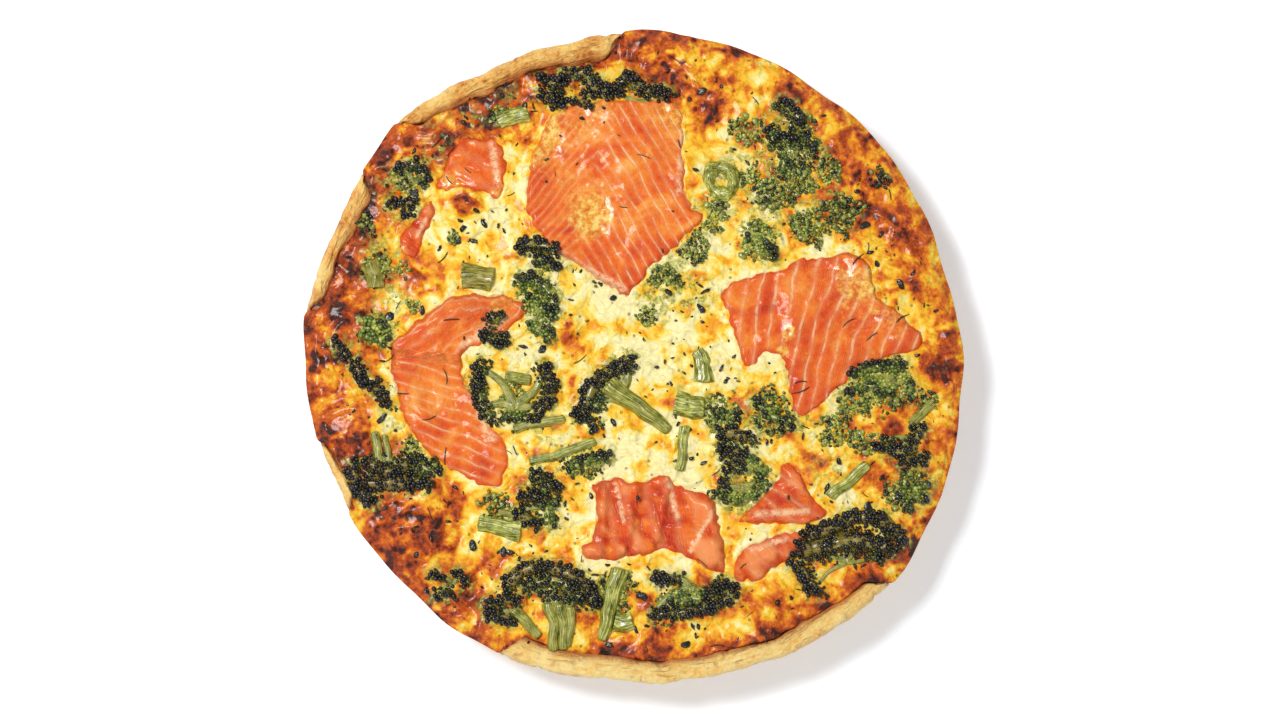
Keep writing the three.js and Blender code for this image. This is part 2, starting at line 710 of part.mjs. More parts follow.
function leekRingSolid(grow) {
  const geometry = new THREE.TorusGeometry(LEEK_RING.radius, LEEK_RING.tube + grow, 6, 12);
  geometry.scale(1, LEEK_RING.stretch, 1);
  geometry.rotateZ(LEEK_RING.turn * DEG);
  geometry.translate(LEEK_RING.x, LEEK_RING.y, fillingHeight(LEEK_RING.x, LEEK_RING.y) + 0.4);
  return solidOfGeometry(geometry);
}

const rangesMeet = (a, b, axis) => a.min[axis] < b.max[axis] && b.min[axis] < a.max[axis];
const boxesMeet = (a, b) => rangesMeet(a, b, 0) && rangesMeet(a, b, 1);

// Every topping is trimmed to rest on the filling and to clear those laid before it
function layToppings(filling) {
  const laid = [];
  const lay = (item, build, roughness) => {
    let solid = build(0).subtract(filling);
    for (const other of laid.filter((o) => boxesMeet(o.cutter.boundingBox(), solid.boundingBox()))) {
      solid = solid.subtract(other.cutter);
    }
    const mesh = meshOf(item.name, largestBody(solid), item.colour, roughness);
    laid.push({ cutter: build(GAP), mesh });
  };
  for (const slice of SLICES) {
    slice.points = outlinePoints(slice.outline, 0);
    lay(slice, (grow) => sliceSolid(slice, grow), 0.35);
  }
  for (const floret of FLORETS) lay(floret, (grow) => floretSolid(floret, grow), 0.6);
  for (const stalk of STALKS) lay(stalk, (grow) => stalkSolid(stalk, grow), 0.4);
  lay(LEEK_RING, leekRingSolid, 0.4);
  return laid;
}

// Free of toppings, with room around it, for a fleck of herb
function isBareFilling(x, y, room) {
  const nearEdge = ({ points }) => distanceToOutline(x, y, points) < room;
  const onSlice = SLICES.some((slice) => insideOutline(x, y, slice.points) || nearEdge(slice));
  const lobeReach = (a, b) => Math.max(a, b) * (1 + LOBE_ROUGHNESS) + room;
  const nearLobe = ([lx, ly, a, b]) => Math.hypot(x - lx, y - ly) < lobeReach(a, b);
  const nearLine = (line, half) => (
    line.slice(1).some((to, i) => distanceToSegment(x, y, line[i], to) < half + room));
  const onFloret = FLORETS.some((f) => f.lobes.some(nearLobe)
    || (f.stems ?? []).some(([from, to, half]) => nearLine([from, to], half * 1.1)));
  const onStalk = STALKS.some((s) => nearLine(s.line, Math.max(...s.ends) * 1.1));
  const ringReach = (LEEK_RING.radius + LEEK_RING.tube) * LEEK_RING.stretch;
  const onRing = Math.hypot(x - LEEK_RING.x, y - LEEK_RING.y) < ringReach + room;
  return !(onSlice || onFloret || onStalk || onRing);
}

// Flecks of dill and pepper baked on to the filling, spread by two steps that never line up
function flecks() {
  const placed = [];
  for (let i = 1; placed.length < FLECK_COUNT; i += 1) {
    const radius = (RIM_RADIUS - FLECK_MARGIN) * Math.sqrt((i * 0.754878) % 1);
    const turn = 2 * Math.PI * ((i * 0.56984) % 1);
    const x = radius * Math.cos(turn);
    const y = radius * Math.sin(turn);
    const crowded = placed.some((p) => Math.hypot(p.x - x, p.y - y) < FLECK_SPACING);
    if (crowded || !isBareFilling(x, y, FLECK_LENGTH / 2 + FLECK_CLEARANCE)) continue;
    placed.push({ x, y, turn: i * 1.7 });
  }
  return placed.map((p) => {
    const geometry = new THREE.IcosahedronGeometry(1, 0);
    geometry.scale(FLECK_LENGTH / 2, FLECK_WIDTH / 2, FLECK_RISE);
    geometry.rotateZ(p.turn);
    geometry.translate(p.x, p.y, fillingHeight(p.x, p.y) + 0.1);
    return solidOfGeometry(geometry);
  });
}

function buildQuiche() {
  const group = new THREE.Group();
  const pastry = largestBody(caseSolid().subtract(fillingSolid(GAP, 20)));
  group.add(meshOf('crust', pastry, 0xd9a860, 0.75));
  const laid = layToppings(fillingSolid(GAP, GAP));
  const filling = flecks().reduce((sum, fleck) => sum.add(fleck), fillingSolid(0, 0));
  group.add(meshOf('filling', filling, 0xdc9a3c, 0.4));
  for (const item of laid) group.add(item.mesh);
  return group;
}

const group = buildQuiche();

export default group;
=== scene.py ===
import bpy
import numpy as np
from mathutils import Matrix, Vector


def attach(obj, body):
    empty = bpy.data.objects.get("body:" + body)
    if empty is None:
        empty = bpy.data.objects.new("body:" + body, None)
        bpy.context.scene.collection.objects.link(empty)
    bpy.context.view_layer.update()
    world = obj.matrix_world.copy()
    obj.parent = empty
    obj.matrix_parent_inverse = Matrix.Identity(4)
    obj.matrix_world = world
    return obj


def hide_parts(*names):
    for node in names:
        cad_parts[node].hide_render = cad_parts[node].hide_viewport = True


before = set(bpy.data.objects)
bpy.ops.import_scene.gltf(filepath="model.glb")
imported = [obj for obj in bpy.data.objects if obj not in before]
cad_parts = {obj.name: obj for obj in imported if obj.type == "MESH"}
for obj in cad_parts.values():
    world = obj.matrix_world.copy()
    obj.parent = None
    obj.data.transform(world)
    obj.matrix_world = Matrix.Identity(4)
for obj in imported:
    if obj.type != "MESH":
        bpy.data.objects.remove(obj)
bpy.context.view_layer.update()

# Camera. The quiche is seen from almost straight above, with a thin strip of its front wall, so
# the camera stands steeply over the near side. Shapes here are worked out in millimetres and
# turned to metres where their mesh is made.
MM = 0.001
CAMERA_ELEVATION = 84.0
CAMERA_LENS = 100.0
SENSOR_WIDTH = 36.0
VIEW_WIDTH = 463.0
LOOK_AT = np.array([1.8, -1.1, 33.0])


def place_camera(elevation, lens, view_width, target):
    """A camera over the near side: its distance makes the wanted width fill the frame."""
    angle = np.radians(elevation)
    back = np.array([0.0, -np.cos(angle), np.sin(angle)])
    data = bpy.data.cameras.new("view")
    data.lens = lens
    data.sensor_width = SENSOR_WIDTH
    camera = bpy.data.objects.new("view", data)
    camera.location = Vector((target + back * view_width * lens / SENSOR_WIDTH) * MM)
    camera.rotation_euler = Vector(-back).to_track_quat("-Z", "Y").to_euler()
    bpy.context.collection.objects.link(camera)
    bpy.context.scene.camera = camera


place_camera(CAMERA_ELEVATION, CAMERA_LENS, VIEW_WIDTH, LOOK_AT)

# Pastry case. A shortcrust shell pressed into a round tin by hand and baked blind: a flat foot,
# a wall that leans out and turns upright, and a torn, cragged rim that shows bare and pale gold
# along four stretches, between which the egg has run over it.
RIM_RADIUS = 118.3
BASE_RADIUS = 106.0
RIM_HEIGHT = 35.0
CASE_FLOOR = 5.0
CASE_WALL = 6.0
SPILL_FLOOR = 29.4
SPILL_OVERHANG = 0.4
GAP = 0.3
# Bulges of the outline: the angle they point to, their spread and how far they stand out
BULGES = (
    (-42, 22, 4.5), (18, 13, -2.0), (82, 18, 1.3), (92, 5, 0.7), (135, 12, 3.8), (172, 14, 1.7),
    (225, 24, -2.0), (262, 8, -1.0),
)
# Bare stretches of the rim: from and to, with the width at either end
BARE_RIM = ((91.5, 136, 9.5, 7.0), (145, 173, 8.0, 5.0), (194, 209, 4.0, 5.0), (245, 319, 9.5, 7.0))
FLAKE_ANGLE = 272
FLAKE_SPREAD = 9
FLAKE_DEPTH = 2.6
CASE_COLUMNS = 1200
LAYER_LENGTH = 18
LAYER_HEIGHT = 1.7
LAYER_RELIEF = 0.35
CRAG_SIZE = 7
CRAG_RELIEF = 0.75
CRUMB_RELIEF = 0.17
CRACK_SIZE = 11
CRACK_WIDTH = 0.12
CRACK_DEPTH = 0.5
# How many rows each span of the profile is cut into, and how many of the spans face outward
CASE_STEPS = [3, 3, 4, 6, 7, 6, 5, 5, 9, 9, 5]
OUTER_SPANS = 8
# Colours on screen by how toasted a place is, then of painted shade in cracks, of the wall's outside,
# below a spill and where egg soaked in
PASTRY_COLOURS = (
    (0.36, (180, 100, 32)), (0.45, (222, 150, 62)), (0.54, (243, 188, 98)), (0.65, (250, 208, 120)),
    (0.78, (253, 224, 146)),
)
PASTRY_CRACK_SHADE = (186, 108, 40)
PASTRY_WALL = (226, 160, 78)
PASTRY_DRIP = (150, 74, 24)
PASTRY_SOAKED = (184, 96, 36)
# Big odd numbers that shuffle the bits of a lattice corner into a random number
HASH_AXES = np.array([73856093, 19349663, 83492791])
HASH_SEED = 2654435
HASH_MIX = 1274126177
HASH_BITS = 0x7FFFFFFF


def bell(distance, spread):
    """A smooth hump of height one: the exponential of minus the squared distance over spread."""
    return np.exp(-((distance / spread) ** 2))


def ease(t):
    """An S-curve from 0 to 1, flat at both ends and held there outside."""
    t = np.clip(t, 0, 1)
    return t * t * (3 - 2 * t)


def angle_from(deg, origin):
    """The signed angle from one direction to another, between -180 and 180."""
    return (deg - origin + 180) % 360 - 180


def unevenness(x, y, z, size):
    """A smooth unevenness between -1 and 1 from a few crossed waves."""
    a = np.sin(x / size + 1.7 * np.sin(y / size + 0.4) + 0.9 * z)
    b = np.sin(y / size * 1.3 - 1.2 * np.sin(x / size * 0.8 + 2.1) + z)
    return (a + b) / 2


def noise(points, size, seed=0):
    """A smooth random value from -1 to 1: random numbers at the corners of a lattice of cubes of
    the given size, blended across each cube with the S-curve."""
    scaled = np.asarray(points) / size + 11.37 * (seed + 1)
    corner = np.floor(scaled).astype(np.int64)
    part = ease(scaled - corner)
    total = 0.0
    for step in np.ndindex(2, 2, 2):
        at = corner + np.array(step)
        mixed = np.bitwise_xor.reduce(at * HASH_AXES, axis=-1)
        mixed = (mixed ^ (seed * HASH_SEED)) & HASH_BITS
        mixed = ((mixed ^ (mixed >> 13)) * HASH_MIX) & HASH_BITS
        mixed = mixed ^ (mixed >> 16)
        weight = np.prod(np.where(step, part, 1 - part), axis=-1)
        total = total + weight * ((mixed & 0xFFFF) / 32767.5 - 1)
    return total


def fractal(points, size, seed=0, octaves=3):
    """Noise summed over sizes that halve, each half as strong as the one before."""
    total = 0.0
    for k in range(octaves):
        total = total + noise(points, size / 2 ** k, seed + 7 * k) / 2 ** k
    return total / (2 - 0.5 ** (octaves - 1))


def on_plane(x, y):
    """The places as points at height zero."""
    return np.stack([x, y, np.zeros_like(x)], -1)


def rim_radius(deg):
    """Distance from the middle to the rim: a circle with its bulges and two fine waves."""
    bulges = sum(out * bell(angle_from(deg, at), spread) for at, spread, out in BULGES)
    turn = np.radians(deg)
    return RIM_RADIUS + bulges + 0.35 * np.sin(17 * turn + 1) + 0.25 * np.sin(29 * turn + 2)


def bare_width(deg):
    """Width of bare pastry on top of the rim, which eases in and out at the ends of a stretch."""
    width = 0.0
    for start, end, start_width, end_width in BARE_RIM:
        along = (deg - start) % 360
        length = end - start
        ends = ease(np.minimum(along, length - along) / 4)
        across = start_width + (end_width - start_width) * along / length
        width = width + np.where(along <= length, ends * across, 0)
    return width


def filling_edge(deg):
    """Where the egg ends: at the ragged inner side of the bare rim, else just past the rim."""
    bare = bare_width(deg)
    turn = np.radians(deg)
    ring = RIM_RADIUS * on_plane(np.cos(turn), np.sin(turn))
    ragged = (0.9 * noise(ring, 9, 14) + 0.5 * noise(ring, 3.5, 15)) * np.clip(bare / 4, 0, 1)
    return rim_radius(deg) + SPILL_OVERHANG * (1 - np.clip(bare, 0, 1)) - bare + ragged


def smooth_rows(rows, steps):
    """More rows of points between the given ones, along a Catmull-Rom curve through them; steps
    is how many a span is cut into, or a list with one number per span."""
    steps = np.broadcast_to(steps, len(rows) - 1)
    padded = np.concatenate([rows[:1], rows, rows[-1:]])
    out = []
    for k, count in enumerate(steps):
        a, b, c, d = padded[k:k + 4]
        for t in np.arange(count) / count:
            cubic = (3 * b - a - 3 * c + d) * t ** 3
            out.append(0.5 * (2 * b + (c - a) * t + (2 * a - 5 * b + 4 * c - d) * t ** 2 + cubic))
    return np.array(out + [rows[-1]])


def grid_faces(rows, columns, wrap=True):
    """Quads between neighbouring rows and columns of a grid, wound to face out."""
    i, j = np.meshgrid(np.arange(rows - 1), np.arange(columns if wrap else columns - 1), indexing="ij")
    here = i * columns
    following = (j + 1) % columns
    below = here + columns
    return np.stack([here + j, here + following, below + following, below + j], -1).reshape(-1, 4)


def fan_faces(pole, ring, outward):
    """Triangles from a middle point to a closed ring of points."""
    following = np.roll(ring, -1)
    pair = (ring, following) if outward else (following, ring)
    return np.stack([np.full(len(ring), pole), *pair], -1)


def grid_normals(points, wrap=True):
    """Unit normals of a grid, from the cross product of its row and column directions."""
    down = np.gradient(points, axis=0)
    across = np.roll(points, -1, 1) - np.roll(points, 1, 1) if wrap else np.gradient(points, axis=1)
    normal = np.cross(across, down)
    return normal / np.maximum(np.linalg.norm(normal, axis=-1, keepdims=True), 1e-9)


def new_piece(name, points, quads=None, triangles=None, values=None):
    """A smooth mesh object from points in millimetres, its faces, and named values per point."""
    quads = np.zeros((0, 4), int) if quads is None else np.asarray(quads)
    triangles = np.zeros((0, 3), int) if triangles is None else np.asarray(triangles)
    mesh = bpy.data.meshes.new(name)
    mesh.vertices.add(len(points))
    mesh.vertices.foreach_set("co", (np.asarray(points) * MM).astype(np.float32).ravel())
    corners = np.concatenate([quads.ravel(), triangles.ravel()]).astype(np.int32)
    starts = np.concatenate([np.arange(len(quads)) * 4, 4 * len(quads) + np.arange(len(triangles)) * 3])
    mesh.loops.add(len(corners))
    mesh.loops.foreach_set("vertex_index", corners)
    mesh.polygons.add(len(starts))
    mesh.polygons.foreach_set("loop_start", starts.astype(np.int32))
    mesh.polygons.foreach_set("use_smooth", np.ones(len(starts), bool))
    for key, data in (values or {}).items():
        held = mesh.attributes.new(key, "FLOAT", "POINT").data
        held.foreach_set("value", np.asarray(data, np.float32).ravel())
    mesh.update(calc_edges=True)
    piece = bpy.data.objects.new(name, mesh)
    bpy.context.collection.objects.link(piece)
    return piece


def case_points():
    """The case as a grid: each row is a ring whose radius and height follow one point of the
    profile round the rim's outline, from the foot up the leaning wall, over the rounded rim, down
    the inside and in to the floor, with curves between the rows. Where egg covers the rim, the
    rows above the spill are pressed down under it."""
    deg = np.arange(CASE_COLUMNS) * 360 / CASE_COLUMNS
    turn = np.radians(deg)
    rim = rim_radius(deg)
    shown = np.clip(bare_width(deg) / 1.5, 0, 1)
    groove = FLAKE_DEPTH * bell(angle_from(deg, FLAKE_ANGLE), FLAKE_SPREAD)
    crest = RIM_HEIGHT + 0.5 * np.sin(7 * turn)
    hidden = SPILL_FLOOR - GAP
    inner = filling_edge(deg) + GAP
    flat = np.ones_like(deg)

    def lean(part):
        """Radius of the wall, from the foot at 0 to the rim at 1."""
        return BASE_RADIUS + (rim - BASE_RADIUS) * part

    def top(height):
        """A height near the rim, pressed down where egg covers it."""
        return hidden + (height - hidden) * shown

    rows = [
        ((BASE_RADIUS - 2) * flat, 0 * flat),
        ((BASE_RADIUS + 0.2) * flat, 0.7 * flat),
        (lean(0.13), 3 * flat),
        (lean(0.45), 9 * flat),
        (lean(0.78), 18 * flat),
        (lean(0.93) - 0.5 * groove, 26 * flat),
        (lean(0.985) - groove, 29.0 * flat),
        (rim - 0.5 + 0.1 * shown, top(RIM_HEIGHT - 2.6)),
        (rim - 1.7, top(crest - 0.4)),
        (rim - 1.7 - 0.5 * (rim - 1.7 - inner) * shown - 2 * (1 - shown), top(crest)),
        (inner + (rim - 5 - inner) * (1 - shown), top(crest - 1.7)),
        (np.minimum(rim - CASE_WALL, inner - 0.6), top(30.0)),
        ((BASE_RADIUS - CASE_WALL - 2 + GAP) * flat, (CASE_FLOOR - GAP) * flat),
    ]
    grid = np.array([np.stack([r * np.cos(turn), r * np.sin(turn), z], -1) for r, z in rows])
    return np.concatenate([smooth_rows(grid[:-1], CASE_STEPS), grid[-1:]])


def build_case():
    """The case with its relief: every point moves along its normal by a sum of noises, drawn out
    round the rim for the layers, coarse for the crags, fine for the crumb, with cuts where a
    noise crosses zero. The foot stays level."""
    points = case_points()
    radius = np.linalg.norm(points[..., :2], axis=-1)
    around = points[..., :2] / LAYER_LENGTH
    stretched = np.concatenate([around, (radius + points[..., 2])[..., None] / LAYER_HEIGHT], -1)
    streaks = noise(stretched, 1.0, 3) + 0.5 * noise(stretched * 2, 1.0, 4)
    crags = fractal(points, CRAG_SIZE, 5, 3)
    crumbs = noise(points, 1.3, 9) + 0.8 * noise(points, 2.6, 10)
    above = ease((points[..., 2] - 0.6) / 3)
    outside = ease((radius - (BASE_RADIUS - 4)) / 4)
    cracks = bell(np.abs(noise(points, CRACK_SIZE, 17)), CRACK_WIDTH)
    relief = LAYER_RELIEF * streaks + CRAG_RELIEF * crags + CRUMB_RELIEF * crumbs - CRACK_DEPTH * cracks
    points = points + grid_normals(points) * (above * outside * relief)[..., None]
    rows, columns = points.shape[:2]
    flat = points.reshape(-1, 3)
    poles = np.array([[0, 0, flat[0, 2]], [0, 0, flat[-1, 2]]])
    first = np.arange(columns)
    last = (rows - 1) * columns + np.arange(columns)
    triangles = np.concatenate([fan_faces(len(flat), first, False), fan_faces(len(flat) + 1, last, True)])
    deg = np.arange(columns) * 360 / columns
    inner = filling_edge(deg)
    across = np.clip((radius - inner) / np.maximum(rim_radius(deg) - inner, 1.5), 0, 1)
    across[:sum(CASE_STEPS[:OUTER_SPANS])] = 1
    spilled = np.tile(1 - np.clip(bare_width(deg) / 3, 0, 1), (rows, 1))
    # Painted light and shade: the front of the case, which faces away from the lamp, is painted paler, and
    # the upper left, which faces the lamp, is painted darker.
    painted_light_tone = 0.12 * bell(angle_from(deg, 275), 55) - 0.05 * bell(angle_from(deg, 115), 50)
    values = {"across": across, "spilled": spilled, "painted_light_tone": np.tile(painted_light_tone, (rows, 1))}
    values = {key: np.concatenate([data.ravel(), [0, 0]]) for key, data in values.items()}
    points = np.concatenate([flat, poles])
    return new_piece("pastry_case", points, grid_faces(rows, columns), triangles, values)


def linear(colour):
    """A colour given as 0 to 255 on screen, as the linear values that shaders use."""
    c = np.array(colour[:3]) / 255
    return tuple(np.where(c <= 0.04045, c / 12.92, ((c + 0.055) / 1.055) ** 2.4)) + (1.0,)


def feed(tree, node, values):
    """Each named input of a node linked to a socket, or else set to a value."""
    for key, value in values.items():
        if isinstance(value, bpy.types.NodeSocket):
            tree.links.new(value, node.inputs[key])
        else:
            node.inputs[key].default_value = value


def add(tree, kind, values=None, **settings):
    """A shader node with its settings, and its inputs linked to sockets or given values."""
    made = tree.nodes.new(kind)
    for key, value in settings.items():
        setattr(made, key, value)
    feed(tree, made, values or {})
    return made


def vectors(tree, operation, values):
    """One step of arithmetic on vectors, whose first output is a vector."""
    return add(tree, "ShaderNodeVectorMath", values, operation=operation).outputs[0]


def blend(tree, factor, first, second):
    """The colour mixed from a socket and a colour on screen or a second socket, by a factor."""
    second = second if isinstance(second, bpy.types.NodeSocket) else linear(second)
    return add(tree, "ShaderNodeMix", {0: factor, 6: first, 7: second}, data_type="RGBA").outputs[2]


def maths(tree, operation, first, second=0.0):
    """One arithmetic step on two values or sockets."""
    return add(tree, "ShaderNodeMath", {0: first, 1: second}, operation=operation).outputs[0]


def times(tree, first, second):
    """The product of two values or sockets."""
    return maths(tree, "MULTIPLY", first, second)


def plus(tree, first, second):
    """The sum of two values or sockets."""
    return maths(tree, "ADD", first, second)


def less(tree, first, second):
    """The first value or socket, with the second taken from it."""
    return maths(tree, "SUBTRACT", first, second)


def total(tree, *terms):
    """The sum of values, each given alone or as a pair with its weight."""
    added = None
    for term in terms:
        value = times(tree, *term) if isinstance(term, tuple) else term
        added = value if added is None else plus(tree, added, value)
    return added


def levels(tree, value, low, high, to_low=0.0, to_high=1.0):
    """A value eased from one range to another and held at its ends."""
    made = add(tree, "ShaderNodeMapRange", {0: value, 1: low, 2: high, 3: to_low, 4: to_high})
    made.interpolation_type = "SMOOTHSTEP"
    return made.outputs[0]


def ramp(tree, factor, stops):
    """A colour that runs through the given stops, each a position and a colour on screen."""
    made = add(tree, "ShaderNodeValToRGB", {0: factor})
    elements = made.color_ramp.elements
    while len(elements) < len(stops):
        elements.new(0.5)
    for element, (position, colour) in zip(elements, stops):
        element.position = position
        element.color = linear(colour)
    return made.outputs[0]


def attribute(tree, name):
    """A named value that the mesh holds at each point."""
    return add(tree, "ShaderNodeAttribute", attribute_name=name).outputs["Fac"]


def place_in_mm(tree):
    """The point on the piece, in millimetres."""
    place = add(tree, "ShaderNodeTexCoord").outputs["Object"]
    return add(tree, "ShaderNodeMapping", {"Vector": place, "Scale": (1000, 1000, 1000)}).outputs[0]


def cloud(tree, place, size, detail=3.0, roughness=0.55, distortion=0.0):
    """A soft random value from 0 to 1 whose patches are about the given size in millimetres."""
    values = {"Vector": place, "Scale": 1 / size, "Detail": detail, "Roughness": roughness}
    return add(tree, "ShaderNodeTexNoise", values | {"Distortion": distortion}).outputs["Fac"]


def cells(tree, place, scale, feature="F1"):
    """Distance from the middle or the edge of random cells, so many to a millimetre."""
    made = add(tree, "ShaderNodeTexVoronoi", {"Vector": place, "Scale": scale}, feature=feature)
    return made.outputs["Distance"]


def new_material(name):
    """A material with a Principled shader, and its tree, ready for its colours and relief."""
    material = bpy.data.materials.new(name)
    material.use_nodes = True
    tree = material.node_tree
    return material, tree, tree.nodes["Principled BSDF"]


def set_relief(tree, shader, height, strength, distance):
    """A bump of the given height in millimetres feeding the shader's normal."""
    values = {"Strength": strength, "Distance": distance * MM, "Height": height}
    feed(tree, shader, {"Normal": add(tree, "ShaderNodeBump", values).outputs[0]})


def crumb_group():
    """Baked crumb used on pastry and on browned egg: small pits and grains as height and shade."""
    tree = bpy.data.node_groups.new("baked crumb", "ShaderNodeTree")
    tree.interface.new_socket("Size", in_out="INPUT", socket_type="NodeSocketFloat").default_value = 1.0
    tree.interface.new_socket("Height", in_out="OUTPUT", socket_type="NodeSocketFloat")
    tree.interface.new_socket("Shade", in_out="OUTPUT", socket_type="NodeSocketFloat")
    given = tree.nodes.new("NodeGroupInput")
    place = place_in_mm(tree)
    scaled = vectors(tree, "SCALE", {0: place, 3: given.outputs["Size"]})
    grains = cloud(tree, scaled, 0.55, 4, 0.7)
    lumps = cloud(tree, scaled, 2.6, 3, 0.6)
    pits = cells(tree, scaled, 0.7, "SMOOTH_F1")
    height = total(tree, (grains, 0.5), (lumps, 0.9), (pits, 0.4))
    result = tree.nodes.new("NodeGroupOutput")
    feed(tree, result, {"Height": height, "Shade": levels(tree, lumps, 0.3, 0.7)})
    return tree


baked_crumb = crumb_group()


def pastry_material():
    """Pale gold shortcrust with fine layers: streaks that run round the rim, browner where the egg touches
    it and down its outside, dry and a bit oily; painted light makes the front of the rim paler and painted
    shade makes the upper left darker."""
    material, tree, shader = new_material("baked pastry")
    place = place_in_mm(tree)
    parts = add(tree, "ShaderNodeSeparateXYZ", {0: place}).outputs
    flat = add(tree, "ShaderNodeCombineXYZ", {0: parts[0], 1: parts[1]}).outputs[0]
    reach = add(tree, "ShaderNodeVectorMath", {0: flat}, operation="LENGTH").outputs["Value"]
    heading = vectors(tree, "NORMALIZE", {0: flat})
    around = vectors(tree, "SCALE", {0: heading, 3: 22.0})
    level = add(tree, "ShaderNodeCombineXYZ", {2: plus(tree, reach, parts[2])}).outputs[0]
    layered = vectors(tree, "ADD", {0: around, 1: level})
    layers = cloud(tree, layered, 1 / 0.75, 4.0, 0.62)
    across = attribute(tree, "across")
    patches = cloud(tree, place, 9, 4, 0.6)
    fine = cloud(tree, place, 1.3, 4, 0.65)
    # Painted light and shade of the case: paler at the front, darker at the upper left.
    painted_light_tone = attribute(tree, "painted_light_tone")
    tone = total(tree, (patches, 0.65), (layers, 0.5), (less(tree, fine, 0.5), 0.45), painted_light_tone)
    colour = ramp(tree, tone, PASTRY_COLOURS)
    bent = vectors(tree, "ADD", {0: layered, 1: cloud(tree, place, 3.5, 3, 0.6)})
    # Cracks: dented in the relief and darkened with painted shade.
    crack = levels(tree, cells(tree, bent, 0.34, "DISTANCE_TO_EDGE"), 0.0, 0.1, 1.0, 0.0)
    crack = times(tree, crack, levels(tree, cloud(tree, place, 7, 3), 0.46, 0.6))
    colour = blend(tree, times(tree, crack, 0.4), colour, PASTRY_CRACK_SHADE)
    outside = levels(tree, total(tree, parts[2], (patches, 4.0)), 35.5, 31.5, 0.0, 0.4)
    colour = blend(tree, outside, colour, PASTRY_WALL)
    drips = total(tree, parts[2], (cloud(tree, place, 5, 3, 0.6, 0.5), 14.0))
    drips = times(tree, levels(tree, drips, 29.0, 37.0, 0.0, 0.7), attribute(tree, "spilled"))
    colour = blend(tree, drips, colour, PASTRY_DRIP)
    soaked = levels(tree, less(tree, across, times(tree, fine, 0.4)), -0.16, 0.14, 0.85, 0.0)
    colour = blend(tree, soaked, colour, PASTRY_SOAKED)
    feed(tree, shader, {
        "Base Color": colour,
        "Roughness": levels(tree, patches, 0.3, 0.7, 0.42, 0.65),
    })
    crumb = add(tree, "ShaderNodeGroup", {"Size": 1.2}, node_tree=baked_crumb)
    height = total(tree, crumb.outputs["Height"], (layers, 1.8))
    height = less(tree, height, times(tree, crack, 0.5))
    set_relief(tree, shader, height, 0.9, 1.0)
    return material


case = build_case()
case.data.materials.append(pastry_material())
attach(case, "root")
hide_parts("crust")

# Level of the egg filling. Everything that lies on the quiche is placed by this height: a level
# pour with places that puffed up or sank as it baked.
FILLING_HEIGHT = 33.0
# Puffed and sunken places: centre, spread and rise
SWELLS = (
    (-79, -62, 13, 3.4), (-60, 55, 8, 1.8), (-23, 12, 5.5, 2.0), (103, 29, 8, 1.4), (28, 90, 10, -0.9),
    (8, 6, 20, -1.4), (33, 74, 12, -1.1), (82, -50, 11, -1.2), (64, -34, 12, -0.8), (-66, -62, 6, -0.8),
    (2, -104, 11, 1.2), (46, -98, 12, 1.3), (78, -84, 10, 1.4), (-98, 38, 9, 1.2), (-10, -93, 10, -0.9),
    (-58, -100, 10, 1.0), (85, 65, 14, -0.9),
)


def filling_height(x, y):
    """Level height plus the swells as smooth humps and two sizes of unevenness."""
    swells = sum(rise * bell(np.hypot(x - sx, y - sy), spread) for sx, sy, spread, rise in SWELLS)
    return FILLING_HEIGHT + swells + 0.55 * unevenness(x, y, 0, 11) + 0.25 * unevenness(y, x, 2, 5)


# Slices of salmon. Thin slices of cured fish laid in before the egg was poured, cooked at their
# edges, with pale fat lines between the flakes, folds where they were crumpled, and egg baked on
# in places.
SLICE_THICKNESS = 2.0
SLICE_STEP = 0.62
SLICE_UNDER = 2.6
# How far the sheet runs on outside the outline, where it lies under the egg
SLICE_HIDDEN = 1.3
# Colours on screen from dark to pale flesh, and of egg baked on
SALMON_COLOURS = (
    (0.3, (182, 38, 4)), (0.42, (216, 68, 6)), (0.53, (232, 96, 12)), (0.63, (242, 128, 32)),
    (0.76, (250, 172, 80)),
)
GLAZE_COLOURS = ((0.36, (206, 104, 28)), (0.48, (242, 168, 48)), (0.6, (254, 228, 128)))
SALMON_FOLD = (222, 66, 22)
# Painted shade for the creases and painted highlight for the crests of a crumpled slice
SALMON_CREASE_SHADE = (190, 36, 6)
SALMON_CREST_HIGHLIGHT = (252, 158, 92)
SALMON_FIBRE = (248, 176, 112)
SALMON_GLOW = (250, 176, 116)
SALMON_FAT = (252, 204, 156)
SALMON_PALE_AND_HIGHLIGHT = (252, 208, 160)
SALMON_EDGE = (214, 56, 8)
